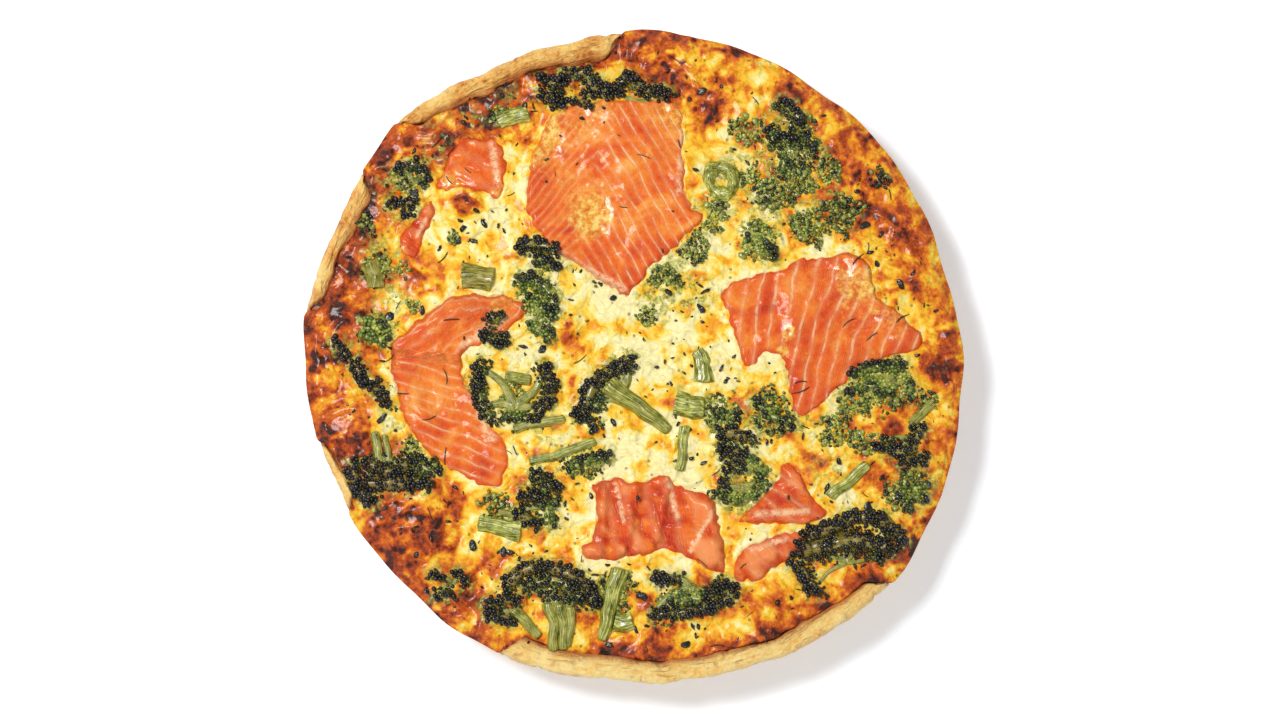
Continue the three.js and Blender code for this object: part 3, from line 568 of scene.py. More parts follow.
# Each slice: how crumpled it lies, how pale its flesh is and how strongly it is lined; pale lines
# as from, to and spread, most of them along fold ridges, where they are painted highlight as well as
# paler flesh; deep red places as centre, spread and depth; its outline; folds as from, to, spread
# behind, spread in front and rise; and glaze, the patches where egg has baked on, as centre, spread
# and strength
SLICES = {
    "salmon_top_centre": dict(
        crumple=0.15, tone=0.06, lined=1.0,
        pale=[(-31, 39, -5, 24.5, 2.2), (16, 60, 18, 90, 1.6)],
        deep=[(2, 33, 13, 0.09), (16, 60, 7, 0.07)],
        outline=[
            (-33, 85), (-25, 92), (-12, 94.5), (3, 95), (16, 93), (18, 74), (19, 58), (25, 51),
            (19, 44), (8, 34), (0, 25), (-4, 22.5), (-18, 32), (-30, 39), (-36.5, 47), (-40, 57),
            (-38.5, 70)
        ],
        folds=[
            (-32, 41, -5, 25, 5.0, 3.0, 1.5), (-38, 58, -35, 82, 3.5, 4, 1.0),
            (6, 40, -10, 88, 10, 10, 0.8), (14, 52, 24, 50, 3, 3, 0.5)
        ],
        glaze=[
            (-16, 51, 9, 1.1), (-30, 84, 10, 0.8), (-36, 72, 6, 0.55), (-12, 93, 11, 0.55),
            (10, 91, 9, 0.5), (17, 86, 5, 0.4), (-24, 62, 8, 0.25)
        ],
    ),
    "salmon_right": dict(
        crumple=0.3, tone=0.0, lined=1.0,
        pale=[], deep=[(60, -10, 14, 0.07), (44, 20, 8, 0.05)],
        outline=[
            (31, 25), (45, 30), (62, 36), (79, 38), (85, 33), (88, 22), (98, 15), (104, 6), (99, 1.5),
            (90, -0.5), (83, -6), (71, -14), (64, -21), (58, -22), (55, -13), (54, -3), (47, 2),
            (43, -3), (39, -2), (35, 9)
        ],
        folds=[(98, 8, 82, 33, 7, 7, 1.7), (60, -10, 56, 30, 4, 6, 0.8)],
        glaze=[
            (86, 26, 9, 0.75), (74, 28, 8, 0.45), (95, 12, 8, 0.55), (55.5, 9, 2.6, 1.2),
            (53.5, 2, 2.4, 1.0), (78, 12, 9, 0.35)
        ],
    ),
    "salmon_left_folded": dict(
        crumple=0.4, tone=0.06, lined=2.0,
        pale=[(-48, 14, -62, 4, 2.4), (-52, -30, -60, -10, 2.0)],
        deep=[(-52, -42, 6, 0.12), (-84, -2, 6, 0.1)],
        outline=[
            (-88.5, 4), (-75, 15.5), (-65, 22), (-53, 23), (-41, 21), (-37.5, 17), (-46, 9), (-55, 4.5),
            (-62, 0), (-61, -9), (-55, -18), (-51, -26), (-45.5, -34), (-46, -42), (-50, -47.5),
            (-59, -45), (-69, -39.5), (-78, -31), (-84, -21), (-87.5, -8)
        ],
        folds=[
            (-64, 19, -85, 4, 6, 4, 2.4), (-43, 18, -62, 19, 5, 4, 1.8),
            (-62, 3, -88, -3, 4.5, 1.0, 1.7), (-74, -31, -83, -8, 5, 4, 1.2)
        ],
        glaze=[(-52, 17, 5, 0.6), (-46, 20, 4, 0.5), (-86, -2, 3, 0.5), (-70, 4, 5, 0.25)],
    ),
    "salmon_upper_left": dict(
        crumple=0.5, tone=0.0, lined=0.1,
        pale=[(-52, 78, -50, 62, 1.6)], deep=[(-60, 78, 6, 0.08)],
        outline=[
            (-64, 80), (-52, 80.5), (-48, 74), (-47, 65), (-50, 57.5), (-57, 61), (-65, 61), (-72, 62),
            (-69, 71)
        ],
        folds=[(-50, 70, -66, 76, 5, 4, 1.0)],
        glaze=[(-66, 64, 6, 0.7), (-50, 60, 5, 0.7), (-62, 79, 4, 0.4)],
    ),
    "salmon_upper_left_tail": dict(
        crumple=1.0, tone=-0.05, lined=0.1,
        pale=[(-79, 44, -76, 50, 1.0)], deep=[],
        outline=[
            (-74, 59), (-79, 51.5), (-86, 44), (-85, 38), (-82, 36), (-78, 39), (-75, 47), (-72.5, 54)
        ],
        folds=[(-82, 41, -75, 55, 3, 3, 0.9)],
        glaze=[(-74, 57, 4, 0.8), (-84, 39, 3, 0.6), (-77.5, 50, 2.2, 0.4)],
    ),
    "salmon_bottom_centre": dict(
        crumple=1.3, tone=-0.04, lined=0.15,
        pale=[(12, -44, 15, -58, 1.3), (-7, -46, -4, -60, 1.0), (28, -56, 20, -70, 1.2)], deep=[],
        outline=[
            (-16, -46), (-7, -43.5), (-1, -46), (6, -44), (13, -42), (16, -46.5), (28, -51),
            (30.5, -57), (31.5, -65), (33.5, -74), (32, -79), (23, -76), (12, -70.5), (2, -71.5),
            (-8, -74.5), (-20, -71), (-15, -64), (-14, -55)
        ],
        folds=[
            (-12, -70, -11, -49, 4, 1.6, 1.8), (-3, -68, 1, -47, 4, 1.4, 2.0),
            (8, -66, 12, -46, 3.5, 1.4, 1.8), (29, -74, 27, -54, 4, 2, 1.8),
            (30, -68, 12, -58, 3, 1.4, 1.2), (-20, -70, 4, -71, 3, 2, 0.8)
        ],
        glaze=[(28, -54, 3, 0.5), (10, -63, 5, 0.25), (-15, -66, 3, 0.3)],
    ),
    "salmon_lower_right": dict(
        crumple=1.0, tone=-0.02, lined=0.4,
        pale=[(44, -57, 62, -56, 1.5)], deep=[],
        outline=[
            (55, -37.5), (60, -43), (65, -51), (69.5, -56), (67.5, -60), (59, -60.8), (48, -60.3),
            (38, -60), (40, -56.5), (45.5, -50), (51, -43)
        ],
        folds=[(62, -46, 47, -54, 4, 2, 1.6), (66, -57, 42, -58, 3, 2, 1.1)],
        glaze=[(40, -58, 3, 0.5)],
    ),
    "salmon_lower_right_fold": dict(
        crumple=1.0, tone=-0.04, lined=0.3,
        pale=[(40, -70, 54, -66, 1.4)], deep=[],
        outline=[
            (36.5, -81), (36, -75), (39, -69.5), (45, -66), (52, -64), (59, -63), (63, -65.5),
            (62, -70), (56, -74), (49, -77.5), (43, -81.5)
        ],
        folds=[(58, -67, 40, -76, 4, 2, 1.9)],
        glaze=[(50, -64, 4, 0.4)],
    ),
}
FISH_NAMES = list(SLICES)


def closed_curve(points, steps=6):
    """A smooth closed outline through the points, by Catmull-Rom."""
    p = np.array(points, float)
    a, b, c, d = np.roll(p, 1, 0), p, np.roll(p, -1, 0), np.roll(p, -2, 0)
    t = (np.arange(steps) / steps)[None, :, None]
    a, b, c, d = (q[:, None] for q in (a, b, c, d))
    cubic = (3 * b - a - 3 * c + d) * t ** 3
    curve = 0.5 * (2 * b + (c - a) * t + (2 * a - 5 * b + 4 * c - d) * t ** 2 + cubic)
    return curve.reshape(-1, 2)


def along_segment(x, y, ax, ay, bx, by):
    """Distance from a segment, the side of it (left positive), and how far along it."""
    dx, dy = bx - ax, by - ay
    t = np.clip(((x - ax) * dx + (y - ay) * dy) / (dx * dx + dy * dy), 0, 1)
    away = np.hypot(x - ax - t * dx, y - ay - t * dy)
    side = np.sign(dx * (y - ay) - dy * (x - ax))
    return away, side, t


def inward_distance(x, y, outline):
    """Distance to a closed outline, positive inside, found segment by segment."""
    least = np.full(x.shape, 1e9)
    inside = np.zeros(x.shape, bool)
    for (ax, ay), (bx, by) in zip(outline, np.roll(outline, -1, 0)):
        least = np.minimum(least, along_segment(x, y, ax, ay, bx, by)[0])
        if ay != by:
            crosses = (ay > y) != (by > y)
            inside ^= crosses & (x < (bx - ax) * (y - ay) / (by - ay) + ax)
    return np.where(inside, least, -least)


for fish in SLICES.values():
    fish["curve"] = closed_curve(fish["outline"])


def slice_inward(fish, x, y):
    """How far inside the slice a place is; the outline is frayed by two sizes of noise."""
    fray = 1.0 * noise(on_plane(x, y), 4, 85)
    return inward_distance(x, y, fish["curve"]) + fray + 0.65 * noise(on_plane(x, y), 1.7, 86)


def fold_rise(fish, x, y):
    """Folds as humps along segments, gentle on one side and steep on the other."""
    total = 0.0
    for ax, ay, bx, by, behind, before, rise in fish["folds"]:
        away, side, _ = along_segment(x, y, ax, ay, bx, by)
        total = total + rise * bell(away, np.where(side > 0, behind, before))
    return total


def crumpled(x, y):
    """Rounded ridges with creases between them, from -0.5 to 0.9: the size of a smooth noise, which
    has sharp valleys at zero, turned over and slanted."""
    place = on_plane(x + 0.5 * y, y)
    return 1.5 * np.abs(noise(place, 7.5, 81) + 0.35 * noise(place, 3.4, 84)) ** 0.7 - 0.5


def slice_top(fish, x, y, inward):
    """Top of a slice: it dips under the egg at its outline and carries its folds and a fine
    waviness inside."""
    body = ease((inward + 0.5) / 2.0)
    place = on_plane(x, y)
    crumple = 1.3 * fish["crumple"] * crumpled(x, y)
    waves = 0.25 * noise(place, 4.5, 82) + 0.12 * noise(place, 1.8, 83)
    folded = (fold_rise(fish, x, y) + crumple + waves) * body
    return filling_height(x, y) - 1.0 + SLICE_THICKNESS * body + folded


def fat_lines(name, x, y, inward):
    """A coordinate that grows by one from one fat line to the next, laid out slice by slice."""
    if name == "salmon_top_centre":
        along = (x + 12.7) * -0.184 + (y - 83) * -0.983
        across = (x + 12.7) * 0.983 + (y - 83) * -0.184
        return (along - np.where(across > 0, 1.17, 1.9) * np.sqrt(across ** 2 + 6)) / 5.4
    if name == "salmon_right":
        lean = 0.2 + 0.006 * (x - 55)
        return (x - lean * (y - 15)) / 5.6
    if name == "salmon_left_folded":
        lower = ease((2 - y - 0.1 * (x + 75)) / 4)
        turn = np.radians(-20 + 0.22 * (y + 10))
        rows = (y * np.cos(turn) - x * np.sin(turn)) / 4.6
        return lower * rows + (1 - lower) * (inward / 4.3 + 0.35)
    if name.startswith("salmon_bottom"):
        return (x + 0.25 * y) / 7.5
    return (0.55 * x + 0.85 * y) / 6.0


def square_faces(index):
    """The four corners of each square of a grid of point numbers, wound to face up."""
    return np.stack([index[:-1, :-1], index[1:, :-1], index[1:, 1:], index[:-1, 1:]], -1)


def build_slice(name, fish):
    """A slice as two sheets of a square grid over its outline, the lower one flat, joined round
    their border, which lies under the egg."""
    low = fish["curve"].min(0) - 2
    high = fish["curve"].max(0) + 2
    xs = np.arange(low[0], high[0], SLICE_STEP)
    ys = np.arange(low[1], high[1], SLICE_STEP)
    x, y = np.meshgrid(xs, ys, indexing="ij")
    inward = slice_inward(fish, x, y)
    top = slice_top(fish, x, y, inward)
    keep = inward > -SLICE_HIDDEN
    cell = keep[:-1, :-1] & keep[1:, :-1] & keep[1:, 1:] & keep[:-1, 1:]
    index = np.arange(x.size).reshape(x.shape)
    quads = square_faces(index)[cell]
    edges = np.concatenate([quads[:, [k, (k + 1) % 4]] for k in range(4)])
    code = edges[:, 0] * x.size + edges[:, 1]
    border = edges[~np.isin(code, edges[:, 1] * x.size + edges[:, 0])]
    under = quads[:, ::-1] + x.size
    wall = np.stack([border[:, 1], border[:, 0], border[:, 0] + x.size, border[:, 1] + x.size], -1)
    used, faces = np.unique(np.concatenate([quads, under, wall]), return_inverse=True)
    flat = np.stack([x, y, top], -1).reshape(-1, 3)
    flat_under = np.stack([x, y, filling_height(x, y) - SLICE_UNDER], -1).reshape(-1, 3)
    glaze = 0.0
    for gx, gy, spread, strength in fish["glaze"]:
        glaze = glaze + strength * bell(np.hypot(x - gx, y - gy), spread)
    glaze = glaze * (1 + 0.5 * fractal(flat, 4, 3).reshape(x.shape))
    tone = np.full_like(x, fish["tone"])
    for dx, dy, spread, depth in fish["deep"]:
        tone = tone - depth * bell(np.hypot(x - dx, y - dy), spread)
    # Pale lines, most of them along fold ridges: paler flesh, and painted highlight on the ridges.
    pale = np.zeros_like(x)
    for ax, ay, bx, by, spread in fish["pale"]:
        pale = pale + bell(along_segment(x, y, ax, ay, bx, by)[0], spread)
    # crest holds the crumple height that the painted shade and painted highlight follow.
    values = {
        "pale": pale, "line": fat_lines(name, x, y, inward), "inward": inward, "glaze": glaze,
        "fold": fold_rise(fish, x, y), "crest": np.clip(fish["crumple"] - 0.3, 0, 1) * crumpled(x, y),
        "tone": tone, "lined": fish["lined"] * (0.4 + 0.6 * ease((x + 18) / 16)),
    }
    points = np.concatenate([flat, flat_under])[used]
    values = {key: np.tile(data.ravel(), 2)[used] for key, data in values.items()}
    return new_piece(name.replace("salmon", "fish"), points, faces.reshape(-1, 4), None, values)


def salmon_material():
    """Moist orange fish with pale fat lines that fray into fine fibres, redder in the folds and
    yellow-brown where egg has baked on, with painted shade in the creases of crumpled slices and painted
    highlight on their crests and on the pale lines along fold ridges."""
    material, tree, shader = new_material("cured salmon")
    place = place_in_mm(tree)
    wobble = cloud(tree, place, 16, 2, 0.5)
    fray = cloud(tree, place, 0.8, 4, 0.7)
    broad = cloud(tree, place, 11, 3, 0.55, 0.6)
    grain = cloud(tree, place, 1.7, 5, 0.72)
    line = total(tree, attribute(tree, "line"), (wobble, 1.1), (fray, 0.14))
    nearest = maths(tree, "ABSOLUTE", less(tree, maths(tree, "FRACT", line), 0.5))
    streak = levels(tree, nearest, 0.13, 0.02, 0.0, 1.0)
    glow = levels(tree, nearest, 0.42, 0.05, 0.0, 1.0)
    strength = levels(tree, cloud(tree, place, 7, 3, 0.65), 0.4, 0.62, 0.12, 0.9)
    strength = times(tree, strength, attribute(tree, "lined"))
    streak = times(tree, streak, strength)
    fine = maths(tree, "SINE", times(tree, line, 44.0))
    fine = times(tree, levels(tree, fine, 0.0, 1.0), levels(tree, cloud(tree, place, 3.2, 3), 0.42, 0.66))
    patch = total(tree, (broad, 0.75), (grain, 0.3), attribute(tree, "tone"))
    flesh = ramp(tree, patch, SALMON_COLOURS)
    # Crumple height: painted shade darkens the creases and painted highlight lightens the crests.
    crest = attribute(tree, "crest")
    flesh = blend(tree, levels(tree, attribute(tree, "fold"), 0.5, 2.4, 0.0, 0.4), flesh, SALMON_FOLD)
    flesh = blend(tree, levels(tree, crest, 0.0, -0.4, 0.0, 0.8), flesh, SALMON_CREASE_SHADE)
    flesh = blend(tree, levels(tree, crest, 0.05, 0.6, 0.0, 0.75), flesh, SALMON_CREST_HIGHLIGHT)
    colour = blend(tree, times(tree, fine, 0.3), flesh, SALMON_FIBRE)
    colour = blend(tree, times(tree, glow, 0.2), colour, SALMON_GLOW)
    colour = blend(tree, times(tree, streak, 0.8), colour, SALMON_FAT)
    # Pale lines: paler flesh, and painted highlight where they lie along fold ridges.
    whitish = times(tree, attribute(tree, "pale"), levels(tree, grain, 0.35, 0.6, 0.3, 0.95))
    colour = blend(tree, levels(tree, whitish, 0.1, 0.9, 0.0, 0.85), colour, SALMON_PALE_AND_HIGHLIGHT)
    edge = levels(tree, attribute(tree, "inward"), 0.0, 3.0, 1.0, 0.0)
    edge = times(tree, edge, levels(tree, broad, 0.4, 0.6, 0.15, 0.8))
    colour = blend(tree, edge, colour, SALMON_EDGE)
    glaze = total(tree, attribute(tree, "glaze"), (less(tree, grain, 0.5), 1.4))
    baked = ramp(tree, cloud(tree, place, 2.6, 4, 0.65), GLAZE_COLOURS)
    colour = blend(tree, levels(tree, glaze, 0.3, 0.9, 0.0, 0.85), colour, baked)
    feed(tree, shader, {
        "Base Color": colour,
        "Roughness": levels(tree, grain, 0.3, 0.7, 0.28, 0.5),
        "Subsurface Weight": 0.08,
        "Subsurface Radius": (1.0, 0.5, 0.2),
        "Subsurface Scale": 1.2 * MM,
        "Specular IOR Level": 0.3,
        "Coat Weight": levels(tree, glaze, 0.1, 0.8, 0.14, 0.4),
        "Coat Roughness": 0.14,
    })
    height = less(tree, times(tree, fray, 0.6), times(tree, streak, 0.25))
    height = total(tree, height, (grain, 1.1), (fine, 0.12))
    set_relief(tree, shader, height, 0.8, 0.9)
    return material


salmon_skin = salmon_material()
for slice_name in FISH_NAMES:
    fish_piece = build_slice(slice_name, SLICES[slice_name])
    fish_piece.data.materials.append(salmon_skin)
    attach(fish_piece, "root")
    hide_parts(slice_name)


def top_height(x, y):
    """Height of whatever lies on top at a place: a slice of fish or else the egg."""
    height = filling_height(x, y)
    for fish in SLICES.values():
        inward = slice_inward(fish, x, y)
        height = np.where(inward > 0, np.maximum(height, slice_top(fish, x, y, inward)), height)
    return height


# Broccoli florets. Heads cut small and roasted on the filling: crowded round buds, scorched black
# on top and green underneath, carried by olive stems that branch from a thicker root and sink
# into the egg.
BUD_RADIUS = 0.86
BUD_SPACING = 1.42
BUD_JITTER = 0.26
LOBE_RISE = 3.4
STEM_SIDES = 24
STEM_RIB_DEPTH = 0.07
STEM_UNEVENNESS = 0.12
# Colours on screen: buds from green to burnt, flesh from dark to pale, and scorched flesh
BUD_COLOURS = (
    (0.0, (188, 194, 92)), (0.22, (136, 152, 56)), (0.44, (84, 104, 36)), (0.66, (38, 50, 22)),
    (0.88, (11, 13, 12)),
)
STEM_COLOURS = (
    (0.37, (62, 60, 14)), (0.46, (102, 104, 28)), (0.54, (146, 150, 50)), (0.64, (212, 212, 118)),
)
STEM_SCORCHED = (120, 84, 26)
# Upper limit of a random turn in radians
ANY_TURN = 6.28
# Each floret: the place and half width of the root of its branches; its runs of buds, each as the
# line they crowd along, half width and scorch; and any stem as start, end, half width and flare
FLORETS = {
    "floret_top_left": dict(
        root=(-30, 96, 1.4),
        runs=[([(-33, 100.5), (-27.5, 100)], 2.6, 0.95), ([(-33, 96), (-28, 93)], 2.6, 0.95)],
    ),
    "floret_top_band": dict(
        root=(-6, 95.5, 1.3),
        runs=[
            ([(-25, 103.5), (-18, 104), (-15, 99), (-7.5, 98), (-3, 102), (3, 98), (11, 96)], 2.4, 0.9),
            ([(-18, 96), (-6, 96)], 1.8, 0.8), ([(-23, 93.5), (-17, 92.5)], 1.3, 1.0)
        ],
    ),
    "floret_upper_right": dict(
        root=(57, 74, 1.2),
        runs=[
            ([(53, 93), (56.5, 91), (59.5, 86.5), (58, 84)], 2.2, 0.75),
            ([(49, 83), (51, 77.5)], 2.2, 0.6), ([(53, 79), (57, 78.5)], 2.6, 0.6),
            ([(61, 81), (64, 76.5), (65, 72)], 1.8, 0.7), ([(54, 72), (53.5, 66)], 1.8, 0.5)
        ],
    ),
    "floret_under_slice": dict(
        root=(-34, 33, 1.1),
        runs=[
            ([(-40, 40), (-35.5, 41), (-29.5, 38.5)], 2.5, 0.85),
            ([(-35.5, 36), (-29.5, 33.5)], 2.2, 0.7)
        ],
    ),
    "floret_left_of_centre": dict(
        root=(-36, 15, 1.2),
        runs=[
            ([(-41, 28), (-36, 27), (-32, 24), (-30.5, 21.5)], 2.8, 0.45),
            ([(-38, 20), (-30.5, 16)], 2.6, 0.35), ([(-36, 11), (-31.5, 7.5)], 2.4, 0.4)
        ],
    ),
    "floret_on_fold": dict(
        root=(-50.5, 10, 1.3),
        runs=[([(-53.5, 13.5), (-49, 14.5)], 2.0, 0.7), ([(-54, 7.5), (-48, 6)], 2.3, 0.75)],
    ),
    "floret_middle_left": dict(
        root=(-43.5, -18, 2.6),
        runs=[
            ([(-56, -3.5), (-57, -10.5), (-55, -18.5), (-52, -22.5)], 2.5, 0.75),
            ([(-33, -4), (-30.5, -10.5), (-32, -16), (-36, -22)], 2.5, 0.85),
            ([(-47, -21), (-41, -22)], 1.8, 0.3)
        ],
        stems=[(-47, -7, -38, -8, 2.2, 1.0)],
    ),
    "floret_centre": dict(
        root=(-6, -14, 2.4),
        runs=[
            ([(-2.5, -1.5), (-6.5, -4), (-13.5, -8.5), (-17, -14.5), (-20, -21)], 2.7, 0.85),
            ([(-11, -12), (-14.5, -19)], 2.2, 0.6), ([(-20, -20), (-14.5, -25)], 2.0, 0.8)
        ],
        stems=[(-10, -10, 12.5, -26.5, 2.2, 1.9)],
    ),
    "floret_right_of_centre": dict(
        root=(42, -42, 1.8),
        runs=[
            ([(32.5, -27.5), (41, -29.5)], 2.6, 0.95), ([(32, -34), (40, -37)], 2.6, 0.9),
            ([(33.5, -39.5), (38.5, -41)], 2.2, 0.8), ([(31.5, -44), (33.5, -47.5)], 1.6, 0.9),
            ([(41, -37), (46, -42)], 2.2, 0.25)
        ],
    ),
    "floret_right_lower": dict(
        root=(38, -47.5, 2.2),
        runs=[([(30, -50), (38, -52.5), (46, -48)], 1.8, 0.3), ([(44, -44), (47, -46)], 1.6, 0.4)],
    ),
    "floret_lower_right": dict(
        root=(76, -74, 1.0),
        runs=[
            ([(62.5, -64.5), (70, -62), (79.5, -58.5), (88, -59), (95, -66)], 3.0, 1.0),
            ([(60, -69.5), (69.5, -68), (79.5, -66.5), (90, -69)], 3.6, 0.9),
            ([(57, -74), (61, -79), (65, -85)], 2.4, 1.0)
        ],
    ),
    "floret_bottom": dict(
        root=(20, -83, 2.6),
        runs=[
            ([(8, -80), (15, -80.5)], 2.0, 0.9),
            ([(7, -93), (15, -92.5), (24, -91), (33, -88), (35, -84)], 2.4, 0.85),
            ([(14, -88), (24, -87)], 2.6, 0.45), ([(25, -87), (32, -82)], 2.2, 0.75)
        ],
    ),
    "floret_bottom_left": dict(
        root=(-28, -90, 2.2),
        runs=[
            ([(-45, -82), (-41.5, -78), (-34, -76), (-25, -78), (-18, -82.5), (-15, -88)], 2.8, 0.95),
            ([(-39, -82), (-27, -81.5), (-20, -87)], 2.8, 0.75), ([(-33, -85.5), (-24, -88)], 1.8, 0.85)
        ],
        stems=[
            (-30.6, -89, -29.2, -106, 1.8, 1.2), (-27, -89, -26, -105.5, 1.9, 1.2),
            (-23.5, -90, -24.6, -104.5, 1.5, 1.3)
        ],
    ),
    "floret_bottom_left_small": dict(
        root=(-45, -92, 1.5),
        runs=[
            ([(-53, -90), (-47.5, -88), (-43, -88)], 2.2, 0.85),
            ([(-52, -93), (-44.5, -95.5)], 2.2, 0.95)
        ],
        stems=[(-44, -91, -34, -101, 2.0, 1.2)],
    ),
    "floret_left_dark": dict(
        root=(-92, -36, 1.8),
        runs=[
            ([(-102, -40.5), (-99.5, -48), (-96, -52)], 2.8, 1.0),
            ([(-95.5, -39), (-87.5, -42), (-82, -39)], 2.8, 0.95),
            ([(-96.5, -46), (-81, -46)], 3.0, 1.0),
            ([(-79, -37), (-74.5, -42), (-72, -40.5)], 2.3, 0.65),
            ([(-77, -45.5), (-74, -47)], 1.8, 0.8)
        ],
        stems=[(-94.5, -27, -92, -38, 2.2, 0.7), (-90, -28, -89, -38, 1.5, 0.7)],
    ),
    "floret_lower_left": dict(
        root=(-33, -54, 1.8),
        runs=[
            ([(-35, -43.5), (-29, -48)], 2.6, 0.75), ([(-40, -50), (-31.5, -52)], 2.6, 0.85),
            ([(-42, -57), (-36, -60)], 2.4, 0.9), ([(-30, -53), (-30, -60)], 1.8, 0.4)
        ],
        stems=[(-42, -58, -49, -56, 1.2, 1.0)],
    ),
    "floret_right_edge": dict(
        root=(98, -29, 1.6),
        runs=[
            ([(88, -32.5), (98.5, -34), (103, -26)], 2.4, 0.85), ([(97, -37), (103.5, -37)], 2.0, 0.85)
        ],
    ),
    "floret_upper_left": dict(
        root=(-81, 64, 1.6), runs=[([(-85, 69), (-79.5, 70), (-76.5, 65.5)], 2.2, 0.8)],
    ),
    "floret_upper_left_burnt": dict(
        root=(-83, 55, 1.2),
        runs=[([(-87.5, 56), (-80.5, 56)], 2.2, 1.1), ([(-84, 52), (-81, 53)], 1.6, 1.0)],
    ),
    "floret_left_pale": dict(
        root=(-93, 8, 1.6),
        runs=[([(-96, 12), (-90, 10)], 2.3, 0.1), ([(-97, 8), (-91, 6.5)], 2.2, 0.15)],
    ),
    "floret_left_burnt": dict(
        root=(-102, -3, 1.2),
        runs=[([(-108, 5), (-104.5, 0)], 2.0, 1.0), ([(-101, -3), (-98.5, -8.5)], 2.3, 1.05)],
    ),
    "floret_left_crumb": dict(
        root=(-92, -13, 1.0), runs=[([(-94, -10.5), (-90, -16)], 2.4, 1.0)],
    ),
    "floret_right_green": dict(
        root=(90, -9, 1.2),
        runs=[
            ([(80, -6), (86, -3.5), (96, -4)], 2.2, 0.4),
            ([(79.5, -12.5), (84, -10.5), (92, -12)], 2.4, 0.3), ([(98, -9), (99, -14)], 2.0, 0.25)
        ],
    ),
    "floret_right_small": dict(
        root=(48, -18, 1.4), runs=[([(45, -17), (50, -22), (56, -24)], 2.2, 0.5)],
    ),
    "floret_burnt_low": dict(
        root=(-66, -82, 1.2),
        runs=[
            ([(-72.5, -78), (-69, -79)], 1.6, 0.95), ([(-64, -78), (-61, -82)], 1.6, 0.9),
            ([(-71, -86.5), (-66, -85)], 1.7, 0.9)
        ],
    ),
    "floret_centre_low": dict(
        root=(-15, -40, 1.6), runs=[([(-24, -39.5), (-16.5, -37), (-10, -36)], 2.1, 0.5)],
    ),
    "floret_upper_middle": dict(
        root=(45, 38, 1.4), runs=[([(42, 43), (47, 41), (49, 37)], 2.2, 0.3)],
    ),
    "floret_middle": dict(
        root=(32, -21, 1.2), runs=[([(27.5, -19.5), (35, -21.5)], 1.8, 0.4)],
    ),
    "floret_frilly": dict(
        root=(99, -50, 1.2),
        runs=[([(105, -47), (99, -47.5)], 1.8, 0.4), ([(103, -51), (97.5, -51), (98, -55)], 1.8, 0.45)],
    ),
}


def ball_template(sides, rings):
    """A closed ball of rings and poles, its points at distance one."""
    tilt = np.pi * (np.arange(rings) + 1) / (rings + 1)
    turn = 2 * np.pi * np.arange(sides) / sides
    across = np.sin(tilt)[:, None]
    height = np.cos(tilt)[:, None] * np.ones(sides)
    grid = np.stack([across * np.cos(turn), across * np.sin(turn), height], -1)
    points = np.concatenate([grid.reshape(-1, 3), [[0, 0, 1], [0, 0, -1]]])
    quads = grid_faces(rings, sides)[:, ::-1]
    first = np.arange(sides)
    last = (rings - 1) * sides + np.arange(sides)
    poles = [fan_faces(rings * sides, first, True), fan_faces(rings * sides + 1, last, False)]
    return points, np.concatenate([quads[:, [0, 1, 2]], quads[:, [0, 2, 3]], *poles])


def scatter(template, centres, sizes, turns):
    """Copies of a template shape, scaled along three axes and turned about Z, as one mesh."""
    points, faces = template
    shaped = points[None] * sizes[:, None, :]
    c, s = np.cos(turns)[:, None], np.sin(turns)[:, None]
    x, y, z = shaped[..., 0], shaped[..., 1], shaped[..., 2]
    placed = np.stack([x * c - y * s, x * s + y * c, z], -1) + centres[:, None, :]
    offsets = np.arange(len(centres))[:, None, None] * len(points)
    return placed.reshape(-1, 3), (faces[None] + offsets).reshape(-1, 3)


def sweep(path, radii, sides, ribs, rib_depth, flatness=1.0):
    """A stem: rings carried along a path, each fluted by the given number of ribs and flattened.
    Returns its grid of points and how far along and around each lies."""
    path = np.array(path, float)
    forward = np.gradient(path, axis=0)
    forward /= np.linalg.norm(forward, axis=-1, keepdims=True)
    side = np.cross(forward, [0, 0, 1])
    side /= np.linalg.norm(side, axis=-1, keepdims=True)
    up = np.cross(side, forward)
    turn = 2 * np.pi * np.arange(sides) / sides
    uneven = 1 + STEM_UNEVENNESS * noise(path, 8.0, 2)[:, None]
    ring = np.asarray(radii)[:, None] * (1 + rib_depth * np.cos(ribs * turn))[None] * uneven
    out = side[:, None] * (ring * np.cos(turn))[..., None]
    rise = up[:, None] * (ring * np.sin(turn) * flatness)[..., None]
    along = np.broadcast_to(np.linspace(0, 1, len(path))[:, None], ring.shape)
    around = np.broadcast_to(turn[None] / (2 * np.pi), ring.shape)
    return path[:, None] + out + rise, along, around


def join_parts(name, parts):
    """Several closed shapes, each as points, quads, triangles and values, as one mesh."""
    starts = np.cumsum([0] + [len(part[0]) for part in parts])
    points = np.concatenate([part[0] for part in parts])
    quads = np.concatenate([part[1] + start for part, start in zip(parts, starts)])
    triangles = np.concatenate([part[2] + start for part, start in zip(parts, starts)])
    values = {key: np.concatenate([part[3][key] for part in parts]) for key in parts[0][3]}
    return new_piece(name, points, quads, triangles, values)


